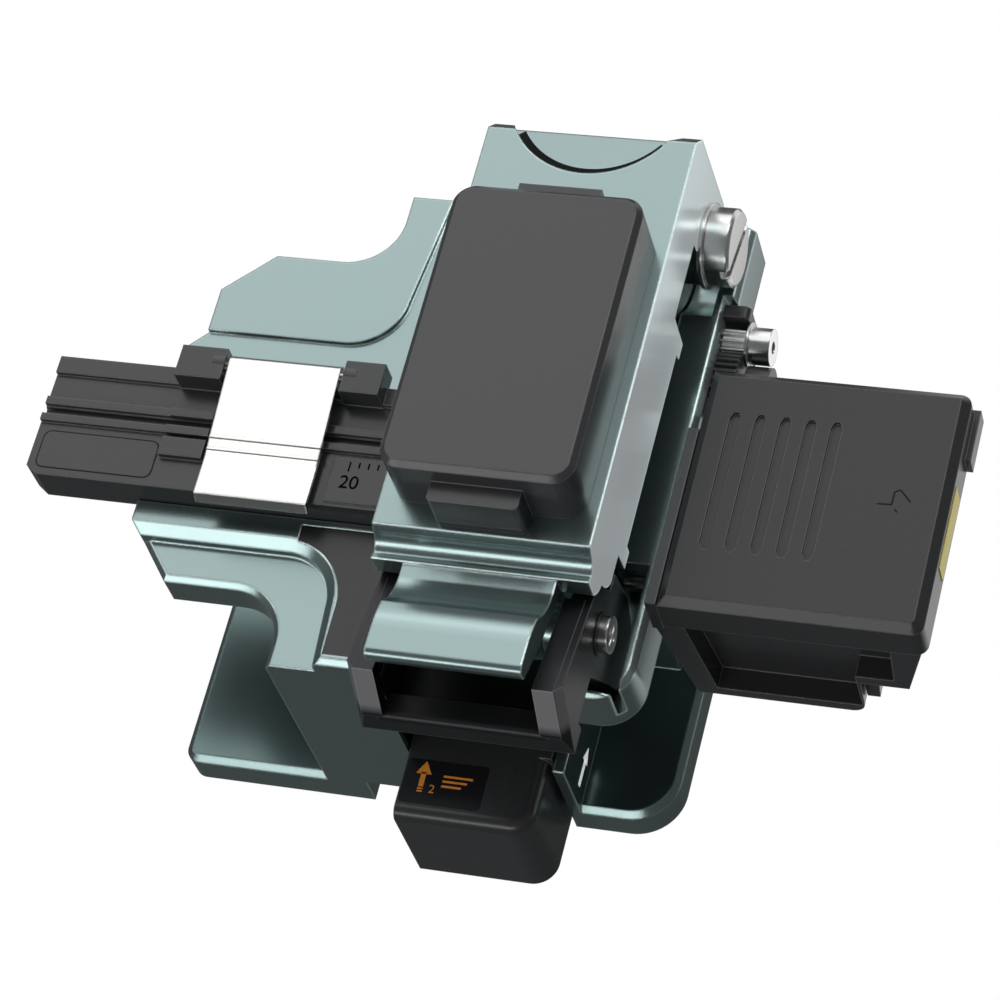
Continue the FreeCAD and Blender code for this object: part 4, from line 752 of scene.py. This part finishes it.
# %% Front of the left web
SKIN = 0.02
WEB_PLATE_THICK = 0.60
UPRIGHT_LEFT = -20.80
UPRIGHT_RIGHT = -13.60
UPRIGHT_TOP = 24.78
LEVEL_LEFT = -20.40
LEVEL_RIGHT = -14.30
LEVEL_REAR = -8.60
LEVEL_SETBACK = 0.50

web_front_y = end_of("base_block", "y", min)
slab_top = end_of("slide_rail", "z", min)

WEB = finish("grey_green_web", ANODISED_COLOUR, metallic=ANODISED_METAL, roughness=ANODISED_ROUGHNESS,
             spread=0.04, grain=BLASTED_GRAIN, bump=0.03)
upright_plate = box((UPRIGHT_LEFT, web_front_y - SKIN, slab_top + SKIN),
                    (UPRIGHT_RIGHT, web_front_y + WEB_PLATE_THICK, UPRIGHT_TOP))
level_plate = box((LEVEL_LEFT, web_front_y + LEVEL_SETBACK, slab_top + SKIN),
                  (LEVEL_RIGHT, LEVEL_REAR, slab_top + WEB_PLATE_THICK))
settle(joined([upright_plate, level_plate]), "web_front", WEB, "base")

# %% [markdown]
# The handle has a dark film on top with an orange arrow that shows which way the carriage is pushed.
# Two short dashes trail the arrow.

# %% Film and arrow on the handle
HANDLE_TOP = 13.5
FILM_LOW = (-13.2, -28.9)
FILM_HIGH = (-4.6, -24.0)
FILM_THICK = 0.03
FILM_CORNER = 0.4
PRINT_THICK = 0.02
ARROW_X = -11.23
ARROW_HALF = 0.27
ARROW_FRONT = -27.0
ARROW_REAR = -25.4
ARROW_HEAD = 0.95
ARROW_HEAD_Y = -25.1
DASH_HALF = 0.30
DASH_LENGTH = 0.16
DASH_FRONTS = (-27.30, -27.60)

film = rounded_plate((*FILM_LOW, HANDLE_TOP), (*FILM_HIGH, HANDLE_TOP + FILM_THICK), FILM_CORNER)
settle(film, "handle_film", SHEET, "carriage")
ink_low = HANDLE_TOP + FILM_THICK
ink_high = ink_low + PRINT_THICK
arrow = [
    box((ARROW_X - ARROW_HALF, ARROW_FRONT, ink_low), (ARROW_X + ARROW_HALF, ARROW_REAR, ink_high)),
    arrow_head((ARROW_X, ARROW_HEAD_Y, (ink_low + ink_high) / 2.0), ARROW_HEAD, PRINT_THICK),
]
for dash_y in DASH_FRONTS:
    arrow.append(box((ARROW_X - DASH_HALF, dash_y, ink_low),
                     (ARROW_X + DASH_HALF, dash_y + DASH_LENGTH, ink_high)))
settle(joined(arrow), "handle_arrow", INK_ORANGE, "carriage")

# %% [markdown]
# Beside the arrow a plain 2 stands for the second step of the work, with three plain bars to its right.
# Each bar is a little shorter than the one behind it.

# %% Number and bars on the handle
HANDLE_NUMERALS = 1.3
HANDLE_NUMBER_PLACE = (-10.0, -27.2)
BAR_HALF = 0.12
BAR_PITCH = 0.55
BAR_LEFT = -9.1
BAR_RIGHT = -6.0
BAR_REAR = -25.6
BAR_SHRINK = 0.5

settle(lettering("2", HANDLE_NUMERALS, (*HANDLE_NUMBER_PLACE, ink_high)),
       "handle_number", INK_ORANGE, "carriage")
bars = []
for row in range(3):
    bar_y = BAR_REAR - BAR_PITCH * row
    bars.append(box((BAR_LEFT, bar_y - BAR_HALF, ink_low),
                    (BAR_RIGHT - BAR_SHRINK * row, bar_y + BAR_HALF, ink_high)))
settle(joined(bars), "handle_bars", INK_ORANGE, "carriage")

# %% [markdown]
# A white arrow on the low wall beside the channel shows the way that the blade travels.
# It stands on a face that looks right, so its head is the turned kind.

# %% Arrow on the channel wall
WALL_FACE = 2.80
WALL_ARROW_Z = 6.8
WALL_ARROW_HALF = 0.35
WALL_ARROW_FRONT = -21.6
WALL_ARROW_REAR = -18.8
WALL_ARROW_HEAD = 1.05
WALL_ARROW_HEAD_Y = -18.35

shaft = box((WALL_FACE, WALL_ARROW_FRONT, WALL_ARROW_Z - WALL_ARROW_HALF),
            (WALL_FACE + INK_THICK, WALL_ARROW_REAR, WALL_ARROW_Z + WALL_ARROW_HALF))
head = arrow_head((WALL_FACE + INK_THICK / 2.0, WALL_ARROW_HEAD_Y, WALL_ARROW_Z), WALL_ARROW_HEAD,
                  INK_THICK, looks_right=True)
settle(joined([shaft, head]), "wall_arrow", INK_WHITE, "base")

# %% [markdown]
# The lid shows how it opens: an engraved bent arrow beside the grip grooves.
# Four thin bars of painted shade, the dark of the engraved cut, follow its line, and a fifth is the short
# dash in front of it.
# Lines as fine as these would be lost as cuts in the mesh, so they lie on it.

# %% Bent arrow on the lid
LID_LINE = 0.14
LID_INK = 0.02
BENT_ARROW = [
    ((34.15, -2.84), (35.55, -2.77)),
    ((35.55, -2.77), (35.58, -1.40)),
    ((35.58, -1.40), (36.10, -1.10)),
    ((36.10, -1.10), (37.26, -2.30)),
    ((35.94, -3.24), (36.19, -3.55)),
]

lid_top = end_of("bin_lid", "z", max)
strokes = [stroke(start, end, LID_LINE, lid_top, lid_top + LID_INK) for start, end in BENT_ARROW]
settle(joined(strokes), "lid_arrow", PAINTED_SHADE, "lid")
print("lid strokes:", len(strokes))

# %% [markdown]
# The steep wall of the thumb scoop mirrors the dark behind the object, so it reads as a dark crescent.
# A painted crescent of that dark reflection and shade is laid on the rim, which is an ellipse, in short
# overlapping strokes.
# It is widest at the left and thinnest at the right, and a cosine of the angle gives it that taper.

# %% Crescent of the thumb scoop
RIM_CENTRE_Y = 35.05
RIM_HALF_X = 9.2
RIM_HALF_Y = 9.54
RIM_START = 216.0
RIM_END = 324.0
RIM_STEPS = 36
STROKE_OVERLAP = 1.15
MIDDLE_WIDTH = 0.48
WIDTH_CHANGE = 0.38
SHADE_SUNK = 0.02
SHADE_PROUD = 0.01


def rim_point(degrees, inset):
    angle = math.radians(degrees)
    return ((RIM_HALF_X - inset) * math.cos(angle),
            RIM_CENTRE_Y + (RIM_HALF_Y - inset) * math.sin(angle))


arm_top = end_of("arm_cover", "z", min)
crescent = []
for step in range(RIM_STEPS):
    first = RIM_START + (RIM_END - RIM_START) * step / RIM_STEPS
    last = RIM_START + (RIM_END - RIM_START) * (step + STROKE_OVERLAP) / RIM_STEPS
    width = MIDDLE_WIDTH - WIDTH_CHANGE * math.cos(math.radians(first))
    crescent.append(stroke(rim_point(first, width / 2.0), rim_point(min(last, RIM_END), width / 2.0),
                           width, arm_top - SHADE_SUNK, arm_top + SHADE_PROUD))
settle(joined(crescent), "scoop_shade", PAINTED_SHADE, "arm")
print("crescent strokes:", len(crescent))

# %% [markdown]
# The floor is a pale plane that throws light back up into the object.
# The camera sees it as plain white, like the background, so the object stands on clean paper.
# What polished faces mirror is set apart from that: front faces mirror the floor in front, which is dark,
# and faces that look right mirror the floor at the right, which is bright.
# These helpers make the fades and blends that the floor's material needs.

# %% Floor and its helpers
FLOOR_SIZE = 6.0
FLOOR_ROUGHNESS = 0.9
FLOOR_SPECULAR = 0.1

bpy.ops.mesh.primitive_plane_add(size=FLOOR_SIZE, location=(0.0, 0.0, 0.0))
floor = bpy.context.active_object
floor.name = "floor"
paper = bpy.data.materials.new("white_floor")
paper.use_nodes = True
paper_tree = paper.node_tree
paper_link = paper_tree.links.new
floor_place = paper_tree.nodes.new("ShaderNodeTexCoord")
floor_split = paper_tree.nodes.new("ShaderNodeSeparateXYZ")
paper_link(floor_place.outputs["Object"], floor_split.inputs["Vector"])


def floor_fade(direction, low, high):
    fade = ramp(paper_tree, low, high)
    paper_link(floor_split.outputs[direction], fade.inputs["Value"])
    return fade.outputs["Result"]


def blend_colours(factor, dark, bright):
    mix = paper_tree.nodes.new("ShaderNodeMix")
    mix.data_type = "RGBA"
    mix.inputs["A"].default_value = (*dark, 1.0)
    mix.inputs["B"].default_value = (*bright, 1.0)
    paper_link(factor, mix.inputs["Factor"])
    return mix.outputs["Result"]


def blend_shaders(factor, first, second):
    mix = paper_tree.nodes.new("ShaderNodeMixShader")
    paper_link(factor, mix.inputs["Fac"])
    paper_link(first, mix.inputs[1])
    paper_link(second, mix.inputs[2])
    return mix.outputs["Shader"]


print("floor size:", FLOOR_SIZE, "m")

# %% [markdown]
# Three shaders make the floor: white for the camera, a glow for what polished faces mirror, and paint
# for the light that it throws back. The Light Path node tells which kind of ray asks.
# The floor is staging and isn't part of the object.

# %% Paper of the floor
PAINT_DARK = (0.10, 0.11, 0.11)
PAINT_BRIGHT = (0.80, 0.80, 0.80)
MIRROR_DARK = (0.10, 0.105, 0.105)
MIRROR_BRIGHT = (0.95, 0.95, 0.95)
PAINT_FADE_Y = (-0.10, 0.02)
MIRROR_FADE_X = (0.015, 0.030)
MIRROR_FADE_Y = (-0.020, -0.008)

paint = paper_tree.nodes["Principled BSDF"]
paint.inputs["Roughness"].default_value = FLOOR_ROUGHNESS
paint.inputs["Specular IOR Level"].default_value = FLOOR_SPECULAR
paper_link(blend_colours(floor_fade("Y", *PAINT_FADE_Y), PAINT_DARK, PAINT_BRIGHT),
           paint.inputs["Base Color"])
right_part = product(paper_tree, floor_fade("X", *MIRROR_FADE_X), floor_fade("Y", *MIRROR_FADE_Y))
mirrored = paper_tree.nodes.new("ShaderNodeEmission")
paper_link(blend_colours(right_part, MIRROR_DARK, MIRROR_BRIGHT), mirrored.inputs["Color"])
plain = paper_tree.nodes.new("ShaderNodeEmission")
floor_rays = paper_tree.nodes.new("ShaderNodeLightPath")
unseen = blend_shaders(floor_rays.outputs["Is Glossy Ray"], paint.outputs["BSDF"],
                       mirrored.outputs["Emission"])
whole = blend_shaders(floor_rays.outputs["Is Camera Ray"], unseen, plain.outputs["Emission"])
paper_link(whole, paper_tree.nodes["Material Output"].inputs["Surface"])
floor.data.materials.append(paper)
deselect()
